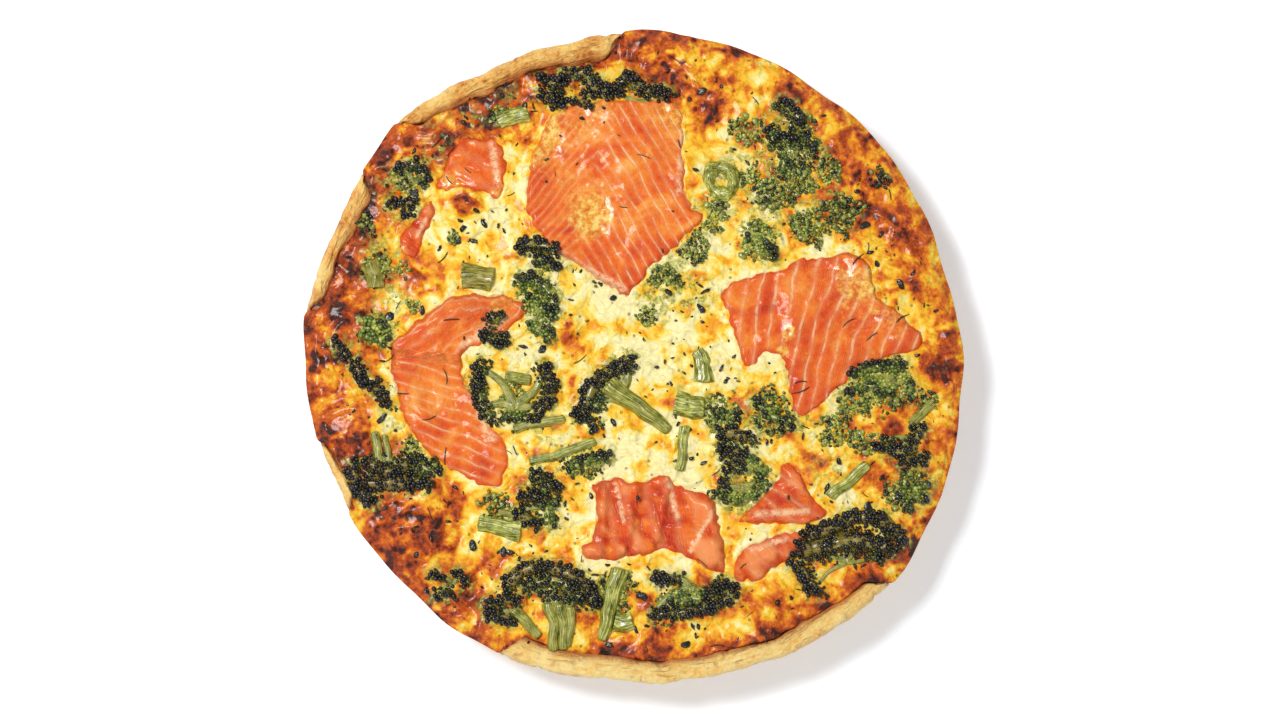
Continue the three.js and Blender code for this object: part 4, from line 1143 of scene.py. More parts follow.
def closed_sweep(grid, along, around, scorch, bud=0.0):
    """A swept grid closed at both ends, with the values its material reads."""
    rows, columns = grid.shape[:2]
    points = np.concatenate([grid.reshape(-1, 3), grid[0].mean(0)[None], grid[-1].mean(0)[None]])
    last = (rows - 1) * columns + np.arange(columns)
    start_cap = fan_faces(rows * columns, np.arange(columns), False)
    end_cap = fan_faces(rows * columns + 1, last, True)
    values = {
        "along": np.concatenate([along.ravel(), [0, 1]]),
        "around": np.concatenate([around.ravel(), [0.5, 0.5]]),
        "scorch": np.full(len(points), scorch),
        "bud": np.full(len(points), bud),
    }
    return points, grid_faces(rows, columns), np.concatenate([start_cap, end_cap]), values


def rounded(radii, ends=0.35):
    """Radii that shrink at the first and last ring, so a cut end is softly rounded."""
    radii = np.array(radii, float)
    radii[[0, -1]] *= 1 - ends
    return radii


def stem_path(line, lift, count=24):
    """A path over the egg through the given places, eased by Catmull-Rom and held at a lift."""
    flat = smooth_rows(np.array(line, float), max(2, count // (len(line) - 1)))
    place = on_plane(flat[:, 0], flat[:, 1])
    flat = flat + 0.7 * np.stack([noise(place, 6, 91), noise(place, 6, 92)], -1)
    return np.concatenate([flat, (filling_height(flat[:, 0], flat[:, 1]) + lift)[:, None]], 1)


def stem_part(line, start_half, end_half, lift, ribs, scorch, flatness=1.0, count=24):
    """One stem along a line, fluted and closed."""
    path = stem_path(line, lift, count)
    radii = rounded(np.linspace(start_half, end_half, len(path)))
    return closed_sweep(*sweep(path, radii, STEM_SIDES, ribs, STEM_RIB_DEPTH, flatness), scorch)


def distance_to_run(x, y, run):
    """Distance from a line through the given places."""
    return np.min([along_segment(x, y, *a, *b)[0] for a, b in zip(run, run[1:])], axis=0)


def outward_of_run(x, y, run, root):
    """How much farther from the root a place lies than the nearest place of the run."""
    nearest = np.full(x.shape, 1e9)
    outward = np.zeros(x.shape)
    for (ax, ay), (bx, by) in zip(run, run[1:]):
        away, _, t = along_segment(x, y, ax, ay, bx, by)
        held = np.hypot(ax + (bx - ax) * t - root[0], ay + (by - ay) * t - root[1])
        closer = away < nearest
        outward = np.where(closer, np.hypot(x - root[0], y - root[1]) - held, outward)
        nearest = np.where(closer, away, nearest)
    return outward


def bud_part(runs, root, rng):
    """Buds on a jittered triangular lattice wherever it comes near a run, heaped up over the
    run's middle and in smaller clumps: big and scorched on the side away from the root, small
    and green on the side toward it."""
    low = np.min([np.min(run, 0) for run, *_ in runs], 0) - 6
    high = np.max([np.max(run, 0) for run, *_ in runs], 0) + 6
    columns = np.arange(low[0], high[0], BUD_SPACING)
    gx, gy = np.meshgrid(columns, np.arange(low[1], high[1], BUD_SPACING * 0.866))
    gx = gx + BUD_SPACING / 2 * (np.arange(gx.shape[0]) % 2)[:, None]
    x, y = gx.ravel(), gy.ravel()
    x = x + rng.normal(0, BUD_JITTER, x.shape)
    y = y + rng.normal(0, BUD_JITTER, y.shape)
    place = on_plane(x, y)
    ragged = 1 + 0.3 * noise(place, 2.6, 71) + 0.2 * noise(place, 1.2, 72)
    reach = np.full(x.shape, 9.0)
    scorch = np.zeros(x.shape)
    half = np.ones(x.shape)
    outer = np.zeros(x.shape)
    for run, width, burnt in runs:
        outward = np.clip(outward_of_run(x, y, run, root) / width, -1.5, 1.5)
        part = distance_to_run(x, y, run) / (width * ragged * np.where(outward < 0, 1.45, 1.0))
        nearer = part < reach
        scorch = np.where(nearer, 0.12 + burnt, scorch)
        half = np.where(nearer, width, half)
        outer = np.where(nearer, outward, outer)
        reach = np.where(nearer, part, reach)
    keep = reach < 1.12
    x, y, place, reach, scorch, half, outer = (v[keep] for v in (x, y, place, reach, scorch, half, outer))
    clump = noise(place, 3.0, 73)
    heap = np.sqrt(np.clip(1 - (reach / 1.15) ** 2, 0, 1))
    rise = LOBE_RISE * (half / 2.6) ** 0.5 * heap * (0.85 + 0.4 * clump) + rng.normal(0, 0.3, x.shape)
    rise = rise * np.clip(1 + 0.3 * outer, 0.55, 1)
    size = BUD_RADIUS * rng.uniform(0.6, 1.2, x.shape) * np.clip(1.0 + 0.22 * outer, 0.7, 1.3)
    shade = scorch + 0.3 * clump + 0.26 * outer + 0.1 * (heap - 0.6) + rng.normal(0, 0.15, x.shape)
    centres = np.stack([x, y, top_height(x, y) + rise + 0.1], -1)
    template = ball_template(7, 4)
    sizes = np.stack([size, size, size * rng.uniform(0.9, 1.2, x.shape)], -1)
    points, faces = scatter(template, centres, sizes, rng.uniform(0, ANY_TURN, x.shape))
    count = len(template[0])
    zeros = np.zeros(len(points))
    values = {"along": zeros, "around": zeros, "scorch": np.repeat(shade, count), "bud": zeros + 1}
    return points, np.zeros((0, 4), int), faces, values


def flesh_part(run, half, scorch):
    """The flesh that the buds of a run sit on: a lumpy swept bank just under them."""
    steps = 5 * max(1, int(np.hypot(*(np.array(run[-1]) - run[0]))) // 3)
    flat = smooth_rows(np.array(run, float), steps)
    path = np.concatenate([flat, (top_height(flat[:, 0], flat[:, 1]) + 0.2)[:, None]], 1)
    swell = 1 + 0.18 * noise(path, 2.4, 74)
    radii = rounded(half * 0.92 * swell, 0.5)
    grid, along, around = sweep(path, radii, 20, 4, 0.06, 1.05 * LOBE_RISE / 3.4)
    grid = grid + 0.35 * noise(grid, 1.7, 75)[..., None]
    return closed_sweep(grid, along, around, scorch - 0.55)


def build_floret(name, plan, rng):
    """One floret: its banks of flesh, branches from the root to each run, stems, and buds."""
    runs = plan["runs"]
    rx, ry, thick = plan["root"]
    parts = [flesh_part(run, half, scorch) for run, half, scorch in runs]
    for run, _, _ in runs:
        for tip in run[::2]:
            bend = ((rx + tip[0]) / 2 + 0.12 * (tip[1] - ry), (ry + tip[1]) / 2 - 0.12 * (tip[0] - rx))
            parts.append(stem_part([(rx, ry), bend, tip], thick * 0.8, thick * 0.35, 0.7, 5, 0.1, 0.7, 14))
    for ax, ay, bx, by, half, flare in plan.get("stems", []):
        middle = ((ax + bx) / 2 + 0.5, (ay + by) / 2)
        parts.append(stem_part([(ax, ay), middle, (bx, by)], half * flare, half * 0.85, 0.7, 7, 0.1, 0.85))
    parts.append(bud_part(runs, (rx, ry), rng))
    return join_parts(name, parts)


def broccoli_group():
    """Colour, gloss and relief of broccoli: buds run from green through dark green to black as
    they scorch; flesh is olive with fibres along it, browner where scorched."""
    tree = bpy.data.node_groups.new("roasted broccoli", "ShaderNodeTree")
    tree.interface.new_socket("Color", in_out="OUTPUT", socket_type="NodeSocketColor")
    tree.interface.new_socket("Gloss", in_out="OUTPUT", socket_type="NodeSocketFloat")
    tree.interface.new_socket("Height", in_out="OUTPUT", socket_type="NodeSocketFloat")
    place = place_in_mm(tree)
    grain = cloud(tree, place, 0.7, 3, 0.6)
    mottle = cloud(tree, place, 3.5, 4, 0.6)
    jitter = times(tree, less(tree, grain, 0.5), 0.5)
    bud = ramp(tree, plus(tree, attribute(tree, "scorch"), jitter), BUD_COLOURS)
    lines = add(tree, "ShaderNodeCombineXYZ", {
        0: times(tree, attribute(tree, "around"), 44.0),
        1: times(tree, attribute(tree, "along"), 4.0), 2: times(tree, mottle, 2.0)}).outputs[0]
    fibres = cloud(tree, lines, 1.0, 2.0, 0.5)
    flesh = ramp(tree, total(tree, (fibres, 0.6), (mottle, 0.45)), STEM_COLOURS)
    warm = total(tree, attribute(tree, "scorch"), (mottle, 0.8))
    flesh = blend(tree, levels(tree, warm, 0.35, 0.9, 0.0, 0.75), flesh, STEM_SCORCHED)
    colour = blend(tree, attribute(tree, "bud"), flesh, bud)
    height = total(tree, (grain, 0.35), (fibres, 0.5))
    result = tree.nodes.new("NodeGroupOutput")
    gloss = levels(tree, mottle, 0.3, 0.7, 0.24, 0.46)
    feed(tree, result, {"Color": colour, "Gloss": gloss, "Height": height})
    return tree


def broccoli_material(name, subsurface):
    """Broccoli with an oily skin, that lets more or less light in."""
    material, tree, shader = new_material(name)
    look = add(tree, "ShaderNodeGroup", node_tree=broccoli)
    feed(tree, shader, {
        "Base Color": look.outputs["Color"],
        "Roughness": look.outputs["Gloss"],
        "Subsurface Weight": subsurface,
        "Subsurface Radius": (0.8, 0.9, 0.3),
        "Subsurface Scale": 1.5 * MM,
        "Coat Weight": 0.35,
        "Coat Roughness": 0.15,
    })
    set_relief(tree, shader, look.outputs["Height"], 0.7, 0.5)
    return material


broccoli = broccoli_group()
roasted = broccoli_material("roasted broccoli", 0.0)
floret_random = np.random.default_rng(11)
for floret_name, floret_plan in FLORETS.items():
    floret = build_floret(floret_name + "_look", floret_plan, floret_random)
    floret.data.materials.append(roasted)
    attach(floret, "root")
    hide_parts(floret_name)

# Stalks and leek. Lengths of broccoli stalk and soft leek, cut with a knife and cooked through,
# half sunk in the egg, ribbed along their length.
# Each: the line it lies on, half width at both ends, lift of its middle, ribs, flatness and tone
STALKS = {
    "stalk_bottom": ([(-5.5, -76), (-9, -90), (-12, -102)], (3.4, 2.0), 1.2, 8, 0.9, 0.0),
    "stalk_chunk": ([(14, -17), (20, -18), (25.5, -18.5)], (4.0, 3.6), 0.6, 9, 0.75, -0.2),
    "stalk_low_left": ([(-38.5, -37.5), (-26, -35), (-14, -30.5)], (1.8, 1.6), 1.0, 5, 0.9, 0.0),
    "stalk_mid_left": ([(-44, -26), (-34, -24), (-25, -22.5)], (1.8, 1.5), 1.0, 5, 0.9, 0.1),
    "stalk_centre": ([(18, -25), (17, -33), (16.5, -41)], (1.9, 1.7), 0.8, 5, 0.8, -0.1),
    "stalk_wedge": ([(22.5, 3), (24, -3), (25, -9)], (2.2, 4.0), 0.2, 8, 0.6, -0.2),
    "stalk_right": ([(69.5, -51), (77, -45), (84, -38.5)], (2.2, 1.7), 1.0, 3, 0.6, -0.1),
    "stalk_right_edge": ([(107, -16.5), (103, -21), (99.5, -24.5)], (1.7, 1.7), 1.0, 5, 0.9, 0.1),
    "leek_bulb": ([(-7.5, -95), (-4, -95.5), (-0.5, -95)], (3.6, 3.4), 0.2, 6, 0.8, -0.3),
    "leek_box": ([(-62.5, 29.5), (-57, 29.5), (-51, 28)], (4.8, 4.2), 0.1, 4, 0.7, 0.2),
    "leek_leafy": ([(-50.5, 86), (-45, 88), (-39, 90)], (3.0, 3.6), 0.1, 6, 0.6, -0.1),
    "leek_folded": ([(-96, 34), (-94.5, 29), (-94, 25)], (3.2, 2.8), 0.4, 4, 0.7, 0.2),
    "leek_stems": ([(-56, -60), (-45, -62.5), (-41, -63)], (3.2, 3.6), 0.1, 5, 0.6, -0.2),
}
RING_PLACE = (31.3, 64.5)
RING_RADIUS = 4.2
RING_TUBE = 1.9
RING_STRETCH = 1.28
RING_TURN = 15
RING_STEPS = 60
RING_SIDES = 20
STALK_SIDES = 40


def cut_stalk(name):
    """One listed length, swept along its line with fine uneven ribs."""
    line, ends, lift, ribs, flatness, tone = STALKS[name]
    path = stem_path(line, 0.5 * lift)
    radii = rounded(np.linspace(ends[0], ends[1], len(path)), 0.4)
    grid, along, around = sweep(path, radii, STALK_SIDES, ribs, STEM_RIB_DEPTH, flatness)
    grid = grid + 0.25 * noise(grid, 2.2, 76)[..., None]
    return join_parts(name + "_look", [closed_sweep(grid, along, around, tone)])


def leek_ring():
    """A soft ring: a tube carried round an oval, lying in the egg."""
    turn = np.linspace(0, 2 * np.pi, RING_STEPS, endpoint=False)
    round_tube = 2 * np.pi * np.arange(RING_SIDES) / RING_SIDES
    thick = RING_TUBE * (1 + 0.16 * np.sin(3 * turn + 1) + 0.1 * np.sin(7 * turn))[:, None]
    thick = thick * (1 + 0.12 * np.cos(4 * round_tube))
    out = RING_RADIUS * (1 + 0.05 * np.sin(2 * turn + 2))[:, None] + thick * np.cos(round_tube)
    x = out * np.cos(turn)[:, None]
    y = out * np.sin(turn)[:, None] * RING_STRETCH
    z = RING_TUBE * 1.1 * np.sin(round_tube)[None] + 0.4 * np.sin(3 * turn)[:, None]
    tilt = np.radians(RING_TURN)
    level = float(filling_height(*RING_PLACE)) + 0.6
    across = x * np.cos(tilt) - y * np.sin(tilt) + RING_PLACE[0]
    upward = x * np.sin(tilt) + y * np.cos(tilt) + RING_PLACE[1]
    points = np.stack([across, upward, z + level], -1).reshape(-1, 3)
    quads = grid_faces(RING_STEPS + 1, RING_SIDES)[:, ::-1] % (RING_STEPS * RING_SIDES)
    values = {
        "along": np.repeat(turn, RING_SIDES),
        "around": np.tile(round_tube / ANY_TURN, RING_STEPS),
        "scorch": np.full(len(points), -0.2),
        "bud": np.zeros(len(points)),
    }
    return new_piece("leek_ring_look", points, quads, None, values)


cooked_stem = broccoli_material("cooked stem", 0.15)
for stalk_name in STALKS:
    stalk = cut_stalk(stalk_name)
    stalk.data.materials.append(cooked_stem)
    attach(stalk, "root")
    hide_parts(stalk_name)
soft_ring = leek_ring()
soft_ring.data.materials.append(cooked_stem)
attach(soft_ring, "root")
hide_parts("leek_ring")

# Egg filling. Beaten egg, cream and cheese poured round the fish and vegetables and baked until
# set: cream and yellow in the hollows, browned in blotches towards the rim, where it has run over
# the pastry, with an oily wrinkled skin. Inside the rim at the upper left, the browning and the olive
# tint also carry painted shade of the raised rim.
EGG_GRID = 290
EGG_ROUNDING = 4.5
SPILL_DROP = 2.1
RIM_DROP = 0.2
MOST_BROWN = 0.78
FISH_BANK = 0.45
GREEN_BANK = 0.9
FISH_HOLLOW = 1.3
# Colours on screen from pale to browned egg, of olive egg near broccoli and in painted rim shade, and
# of painted shade in pinholes
EGG_COLOURS = (
    (0.0, (242, 229, 164)), (0.15, (244, 218, 112)), (0.29, (248, 194, 38)), (0.44, (236, 152, 20)),
    (0.57, (214, 104, 14)), (0.73, (174, 66, 10)), (0.87, (122, 42, 8)), (0.97, (62, 22, 6)),
)
MOSS_COLOURS = ((0.36, (84, 88, 20)), (0.47, (142, 142, 44)), (0.6, (212, 208, 104)))
EGG_PINHOLE_SHADE = (150, 84, 30)
# Browner and paler places: centre, spread and how much. The browner ones at the upper left, just
# inside the rim, also stand for painted shade of the raised rim
BROWNING_AND_RIM_SHADE = (
    (28, 90, 8, 0.5), (8, 114, 12, 0.35), (-104, 37, 8, 0.4), (-115, 21, 6, 0.4), (-105, -2, 5, 0.3),
    (-79, -60, 13, 0.42), (-60, 58, 5.5, 0.5), (103, 29, 7, 0.35), (113, -3, 5, 0.45),
    (7, -105, 8, 0.3), (45, -103, 11, 0.32), (78, -84, 9, 0.32), (-92, 78, 8, 0.45), (99, -65, 7, 0.3),
    (-73, 93, 9, 0.25), (-50, 106, 8, 0.3), (60, 96, 8, 0.2), (-90, -78, 9, 0.2), (75, 60, 12, 0.22),
    (50, 66, 5, 0.35), (-49, 50, 11, -0.25), (2, 6, 18, -0.22), (31, 76, 11, -0.3),
    (31, -24, 12, -0.15), (82, -52, 9, -0.28), (-27, -60, 7, -0.2), (-69, 46, 7, -0.2),
    (-5, -35, 10, -0.2), (20, -38, 9, -0.2), (-88, 12, 7, -0.2), (-67, 87, 6, -0.15),
    (64, -35, 10, 0.12), (-24, -105, 8, -0.15), (35, -90, 8, -0.1), (-86, -9, 6, -0.1),
    (49, 103, 8, -0.12), (-60, -60, 7, -0.35), (-72, -75, 6, -0.1), (40, 60, 12, -0.15),
    (-15, 20, 12, -0.1), (62, 56, 10, -0.05), (-23, 12, 5, 0.18), (97, 50, 10, 0.35),
    (-24, -107, 9, -0.25), (-86, 78, 7, 0.1), (-50, 100, 8, 0.1), (-70, 78, 9, 0.3), (-58, 88, 8, 0.25),
    (-66, -80, 9, 0.1), (-88, -56, 8, 0.1), (-38, -98, 9, -0.15), (-10, -104, 8, -0.12),
    (15, -104, 9, -0.2), (38, -100, 9, -0.15), (70, -80, 9, -0.1), (62, -86, 9, -0.12),
    (88, -60, 8, -0.08),
)
# Places where the egg is tinted green by broccoli, and olive painted shade of the raised rim along the
# upper left just inside it: centre and spread
GREENING_AND_RIM_SHADE = (
    (45, 42, 9), (10, 29, 7), (14, 20, 8), (25, 22, 7), (-3, -3, 6), (31, -20, 9), (-35, 20, 10),
    (60, 72, 10), (88, -10, 10), (38, -50, 9), (-40, -58, 8), (-94, 10, 8), (-93, 30, 8), (20, 40, 9),
    (-30, -30, 10), (75, 50, 9), (-10, -85, 8), (42, 74, 13), (64, 62, 12), (46, 52, 10), (8, 24, 12),
    (-92, 40, 9), (-86, 20, 8), (70, -40, 10), (24, 52, 8), (100, -45, 9), (30, 62, 8), (54, 84, 9),
    # (-45, 97), (-60, 87) and (-72, 76) are painted shade of the raised rim
    (78, -14, 9), (62, -22, 7), (20, -10, 6), (-20, 34, 7), (-62, -8, 6), (-86, -26, 7), (-45, 97, 7),
    (-60, 87, 7), (-72, 76, 7), (-90, 62, 7), (-80, -40, 8), (-75, 90, 7), (-84, 62, 7), (50, -20, 9),
)


def disc_map(count):
    """A square grid laid on a disc so that its squares stay nearly square: radius and angle."""
    a, b = np.meshgrid(np.linspace(-1, 1, count), np.linspace(-1, 1, count), indexing="ij")
    a = a + 1e-9
    wide = np.abs(a) > np.abs(b)
    radius = np.where(wide, a, b)
    steep = np.pi / 2 - np.pi / 4 * a / np.where(b == 0, 1, b)
    turn = np.where(wide, np.pi / 4 * b / a, steep)
    turn = np.where(radius < 0, turn + np.pi, turn)
    return np.abs(radius), turn


def toppings_near(x, y):
    """How far fish and buds are: signed distances outside their outlines."""
    fish_away = np.full(x.shape, 1e3)
    for fish in SLICES.values():
        fish_away = np.minimum(fish_away, -slice_inward(fish, x, y))
    green_away = np.full(x.shape, 1e3)
    for plan in FLORETS.values():
        for run, half, _ in plan["runs"]:
            green_away = np.minimum(green_away, distance_to_run(x, y, run) - half)
    return fish_away, green_away


def egg_values(x, y, inward, deg, fish_away, green_away):
    """How browned and how green the egg is, both with painted shade of the rim along the upper left,
    and the height of its skin.
    """
    place = on_plane(x, y)
    middle = np.hypot(x, y) / RIM_RADIUS
    bare = np.clip(bare_width(deg), 0, 1)
    warped = place + 3.5 * on_plane(noise(place, 9, 21), noise(place, 9, 22))
    blotches = fractal(warped, 9, 31, 4)
    patches = sum(more * bell(np.hypot(x - px, y - py), spread) for px, py, spread, more in BROWNING_AND_RIM_SHADE)
    brown_and_shade = 0.2 + 0.26 * ease((middle - 0.5) / 0.42) + 0.8 * patches + 0.3 * blotches
    band = bell(inward - 0.6, 3.0 + 1.4 * noise(place, 8, 33)) * (0.8 + 0.3 * noise(place, 11, 34))
    # Browner outer ring towards the left: browning, and painted shade of the raised rim on that side.
    brown_and_shade = brown_and_shade + 0.1 * bell(angle_from(deg, 165), 75) * ease((middle - 0.72) / 0.15)
    brown_and_shade = brown_and_shade + 0.42 * band * bare + 0.06 * bell(inward, 5) * (1 - bare)
    beside_fish = np.maximum(fish_away, 0)
    beside_green = np.maximum(green_away, 0)
    brown_and_shade = np.minimum(brown_and_shade, MOST_BROWN) - 0.1 * bell(beside_fish, 3)
    brown_and_shade = brown_and_shade + 0.1 * np.clip(noise(place, 17, 35), -0.5, 1)
    # Green tint near broccoli; at the upper left inside the rim it is painted shade of the rim.
    green = 0.65 * sum(bell(np.hypot(x - px, y - py), spread) for px, py, spread in GREENING_AND_RIM_SHADE)
    green = green + 0.85 * bell(beside_green, 2.6)
    depth = SPILL_DROP + (RIM_DROP - SPILL_DROP) * bare
    height = filling_height(x, y) - depth * (1 - ease(inward / EGG_ROUNDING))
    lumps = 0.6 * fractal(warped, 7.5, 41, 2) + 0.4 * noise(warped, 3.1, 44)
    crust = np.clip(brown_and_shade, 0, 1)
    blisters = 0.35 * np.abs(noise(warped, 3.6, 45)) + 0.25 * noise(place, 1.6, 47)
    lumps = lumps + crust * blisters
    ridges = 0.3 * (1 - np.abs(noise(warped, 8.0, 48))) ** 4
    height = height + (lumps + ridges) * (0.6 + 0.6 * crust) + 0.5 * np.clip(brown_and_shade - 0.5, 0, 1)
    height = height + FISH_BANK * bell(beside_fish, 1.6) + GREEN_BANK * bell(beside_green, 2.0)
    return brown_and_shade, green, height - FISH_HOLLOW * ease(-fish_away / 2.0)


def egg_skirt(edge, low, wall):
    """Radius and height of the rings below the edge: over the rim, down the wall and to the
    floor of the case."""
    flat = np.ones_like(edge)
    return [
        (edge + 0.15, low - 0.6),
        (edge, np.minimum(low - 1.0, SPILL_FLOOR + 0.4)),
        (edge - 0.5, SPILL_FLOOR * flat),
        (wall, (SPILL_FLOOR - 0.1) * flat),
        ((BASE_RADIUS - CASE_WALL - 2) * flat, CASE_FLOOR * flat),
    ]


def build_filling():
    """The egg as a disc of squares, lifted to the height of its skin, rounded over at its edge and
    closed underneath inside the case."""
    part, turn = disc_map(EGG_GRID)
    deg = np.degrees(turn) % 360
    reach = filling_edge(deg)
    x = part * reach * np.cos(turn)
    y = part * reach * np.sin(turn)
    brown_and_shade, green, height = egg_values(x, y, reach * (1 - part), deg, *toppings_near(x, y))
    top = np.stack([x, y, height], -1).reshape(-1, 3)
    index = np.arange(EGG_GRID ** 2).reshape(EGG_GRID, EGG_GRID)
    quads = square_faces(index).reshape(-1, 4)
    border = np.concatenate([index[:-1, 0], index[-1, :-1], index[:0:-1, -1], index[0, :0:-1]])
    rim_turn = turn.ravel()[border]
    rim_deg = np.degrees(rim_turn) % 360
    edge = filling_edge(rim_deg)
    wall = np.minimum(rim_radius(rim_deg) - CASE_WALL, edge - 0.6)
    skirt = egg_skirt(edge, top[border, 2], wall)
    rings = [np.stack([r * np.cos(rim_turn), r * np.sin(rim_turn), z], -1) for r, z in skirt]
    steps = np.arange(len(border))
    levels_below = [border] + [len(top) + k * len(border) + steps for k in range(len(rings))]
    sides = [
        np.stack([upper, lower, np.roll(lower, -1), np.roll(upper, -1)], -1)
        for upper, lower in zip(levels_below, levels_below[1:])
    ]
    pole = len(top) + len(rings) * len(border)
    triangles = fan_faces(pole, levels_below[-1], False)
    points = np.concatenate([top] + rings + [[[0, 0, CASE_FLOOR]]])
    values = {
        key: np.concatenate([data.ravel()] + [data.ravel()[border]] * len(rings) + [[0]])
        for key, data in (("brown_and_shade", brown_and_shade), ("green", green))
    }
    return new_piece("egg_filling", points, np.concatenate([quads] + sides), triangles, values)


def egg_material():
    """Baked egg: a run of colours from cream to dark brown by how browned a place is, green near
    broccoli, with brown blisters and pinholes darkened with painted shade, smooth where pale and
    crumbly where browned; inside the rim at the upper left, the browning and the green also carry
    painted shade of the rim."""
    material, tree, shader = new_material("baked egg")
    place = place_in_mm(tree)
    known = attribute(tree, "brown_and_shade")
    blotch = cloud(tree, place, 7.6, 2.5, 0.5, 0.7)
    patch = cloud(tree, place, 2.8, 4, 0.6, 0.6)
    fine = cloud(tree, place, 1.3, 4, 0.65, 0.4)
    tint = cloud(tree, place, 3.0, 4, 0.6, 0.5)
    browned = levels(tree, known, 0.15, 0.55)
    spots = total(tree, cells(tree, place, 0.3, "SMOOTH_F1"), (fine, 0.5))
    spot = levels(tree, spots, 0.42, 0.7, 1.0, 0.0)
    spot = times(tree, spot, levels(tree, cloud(tree, place, 13, 2), 0.44, 0.6))
    brown_and_shade = total(
        tree, known, (less(tree, blotch, 0.5), 1.7), (less(tree, patch, 0.5), 0.36),
        (less(tree, fine, 0.5), levels(tree, known, 0.1, 0.6, 0.12, 0.6)),
        (spot, levels(tree, known, 0.15, 0.6, 0.12, 0.34)))
    brown_and_shade = maths(tree, "MINIMUM", brown_and_shade, levels(tree, known, 0.12, 0.5, 0.42, 1.0))
    colour = ramp(tree, brown_and_shade, EGG_COLOURS)
    green = times(tree, attribute(tree, "green"), levels(tree, tint, 0.36, 0.64))
    moss = ramp(tree, fine, MOSS_COLOURS)
    colour = blend(tree, levels(tree, green, 0.12, 0.75, 0.0, 0.8), colour, moss)
    # Pinholes: dented in the relief and darkened with painted shade.
    hole = levels(tree, cells(tree, place, 0.22), 0.06, 0.16, 1.0, 0.0)
    colour = blend(tree, times(tree, hole, 0.7), colour, EGG_PINHOLE_SHADE)
    feed(tree, shader, {
        "Base Color": colour,
        "Roughness": levels(tree, brown_and_shade, 0.1, 0.7, 0.42, 0.34),
        "Specular IOR Level": 0.28,
        "Subsurface Weight": 0.1,
        "Subsurface Radius": (1.0, 0.7, 0.3),
        "Subsurface Scale": 1.6 * MM,
        "Coat Weight": levels(tree, brown_and_shade, 0.1, 0.6, 0.12, 0.16),
        "Coat Roughness": 0.14,
    })
    crumb = add(tree, "ShaderNodeGroup", {"Size": 0.8}, node_tree=baked_crumb)
    soft = cloud(tree, place, 4.2, 1.5, 0.45, 0.4)
    dents = cloud(tree, place, 2.2, 1, 0.4)
    height = total(tree, (soft, 3.0), (dents, 0.5))
    grit = total(tree, (fine, 0.9), (crumb.outputs["Height"], 0.5))
    grit = times(tree, grit, levels(tree, browned, 0.0, 1.0, 0.2, 1.0))
    height = plus(tree, height, total(tree, grit, (spot, 0.35)))
    height = less(tree, height, times(tree, hole, 0.4))
    set_relief(tree, shader, height, 0.8, 1.2)
    return material


filling = build_filling()
filling.data.materials.append(egg_material())
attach(filling, "root")
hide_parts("filling")

# Herbs and burnt bits. Pepper, seeds and dill that were sprinkled over the top, burnt flakes of
# leaf and crumbs of broccoli, all lying on whatever is under them.
BIT_COUNT = 560
FLAKE_COUNT = 95
DILL_COUNT = 55
DILL_POINTS = 7
CRUMB_SPACING = 1.04
CRUMB_JITTER = 0.3
CRUMB_BUD_SHARE = 0.9
# Crumbs of broccoli: centre, spread, how many and how scorched
CRUMBS = (
    (45, 42, 8, 120, 0.3), (10, 29, 7, 90, 0.4), (31, -20, 8, 110, 0.4), (-35, 24, 8, 90, 0.35),
    (60, 74, 10, 110, 0.5), (88, -9, 11, 200, 0.35), (50, -20, 9, 170, 0.4), (38, -50, 7, 90, 0.3),
    (-20, -38, 8, 110, 0.4), (-94, 10, 7, 90, 0.25), (98, -49, 9, 110, 0.4), (20, 41, 8, 110, 0.4),
    (-82, 66, 8, 80, 0.5), (75, 52, 9, 90, 0.5), (-44, -14, 7, 90, 0.25), (-6, -84, 8, 80, 0.4),
    (72, -27, 9, 60, 0.35), (-50, -55, 7, 50, 0.5), (12, -90, 8, 70, 0.45), (90, 66, 6, 30, 0.8),
    (-78, -34, 8, 120, 0.4), (-49, 88, 6, 60, 0.35), (52, 60, 9, 90, 0.45), (64, 48, 8, 90, 0.35),
    (-94, 32, 8, 70, 0.3), (28, 50, 7, 70, 0.3), (4, 16, 5, 60, 0.25), (70, 4, 4, 40, 0.5),
    (105, -16, 5, 60, 0.5), (-88, -14, 6, 60, 0.5), (34, -34, 6, 60, 0.35), (-12, 30, 5, 60, 0.35),
    (-66, 44, 4, 30, 0.4), (60, 84, 7, 60, 0.5), (-97, 48, 5, 40, 0.6), (62, 64, 6, 60, 0.4),
    (80, -16, 7, 90, 0.35), (40, 82, 8, 50, 0.3), (70, 67, 7, 70, 0.3), (44, 66, 7, 50, 0.25),
    (-85, 31, 5, 50, 0.25), (-80, 19, 4, 40, 0.25), (60, 48, 6, 60, 0.3), (82, -30, 7, 50, 0.3),
)


def random_places(rng, count, limit):
    """Places spread evenly over the disc, out to a limit."""
    radius = limit * np.sqrt(rng.uniform(0, 1, count))
    turn = rng.uniform(0, 2 * np.pi, count)
    return radius * np.cos(turn), radius * np.sin(turn)


def grain_piece(name, template, centres, sizes, turns, scorch, bud, roughness, size):
    """Scattered grains as one mesh, roughened, with the values their material reads."""
    points, faces = scatter(template, centres, sizes, turns)
    jitter = np.stack([noise(points, size, seed) for seed in (61, 62, 63)], -1)
    count = len(template[0])
    zeros = np.zeros(len(points))
    values = {"along": zeros, "around": zeros}
    values.update(scorch=np.repeat(scorch, count), bud=np.repeat(bud, count))
    return new_piece(name, points + roughness * jitter, None, faces, values)


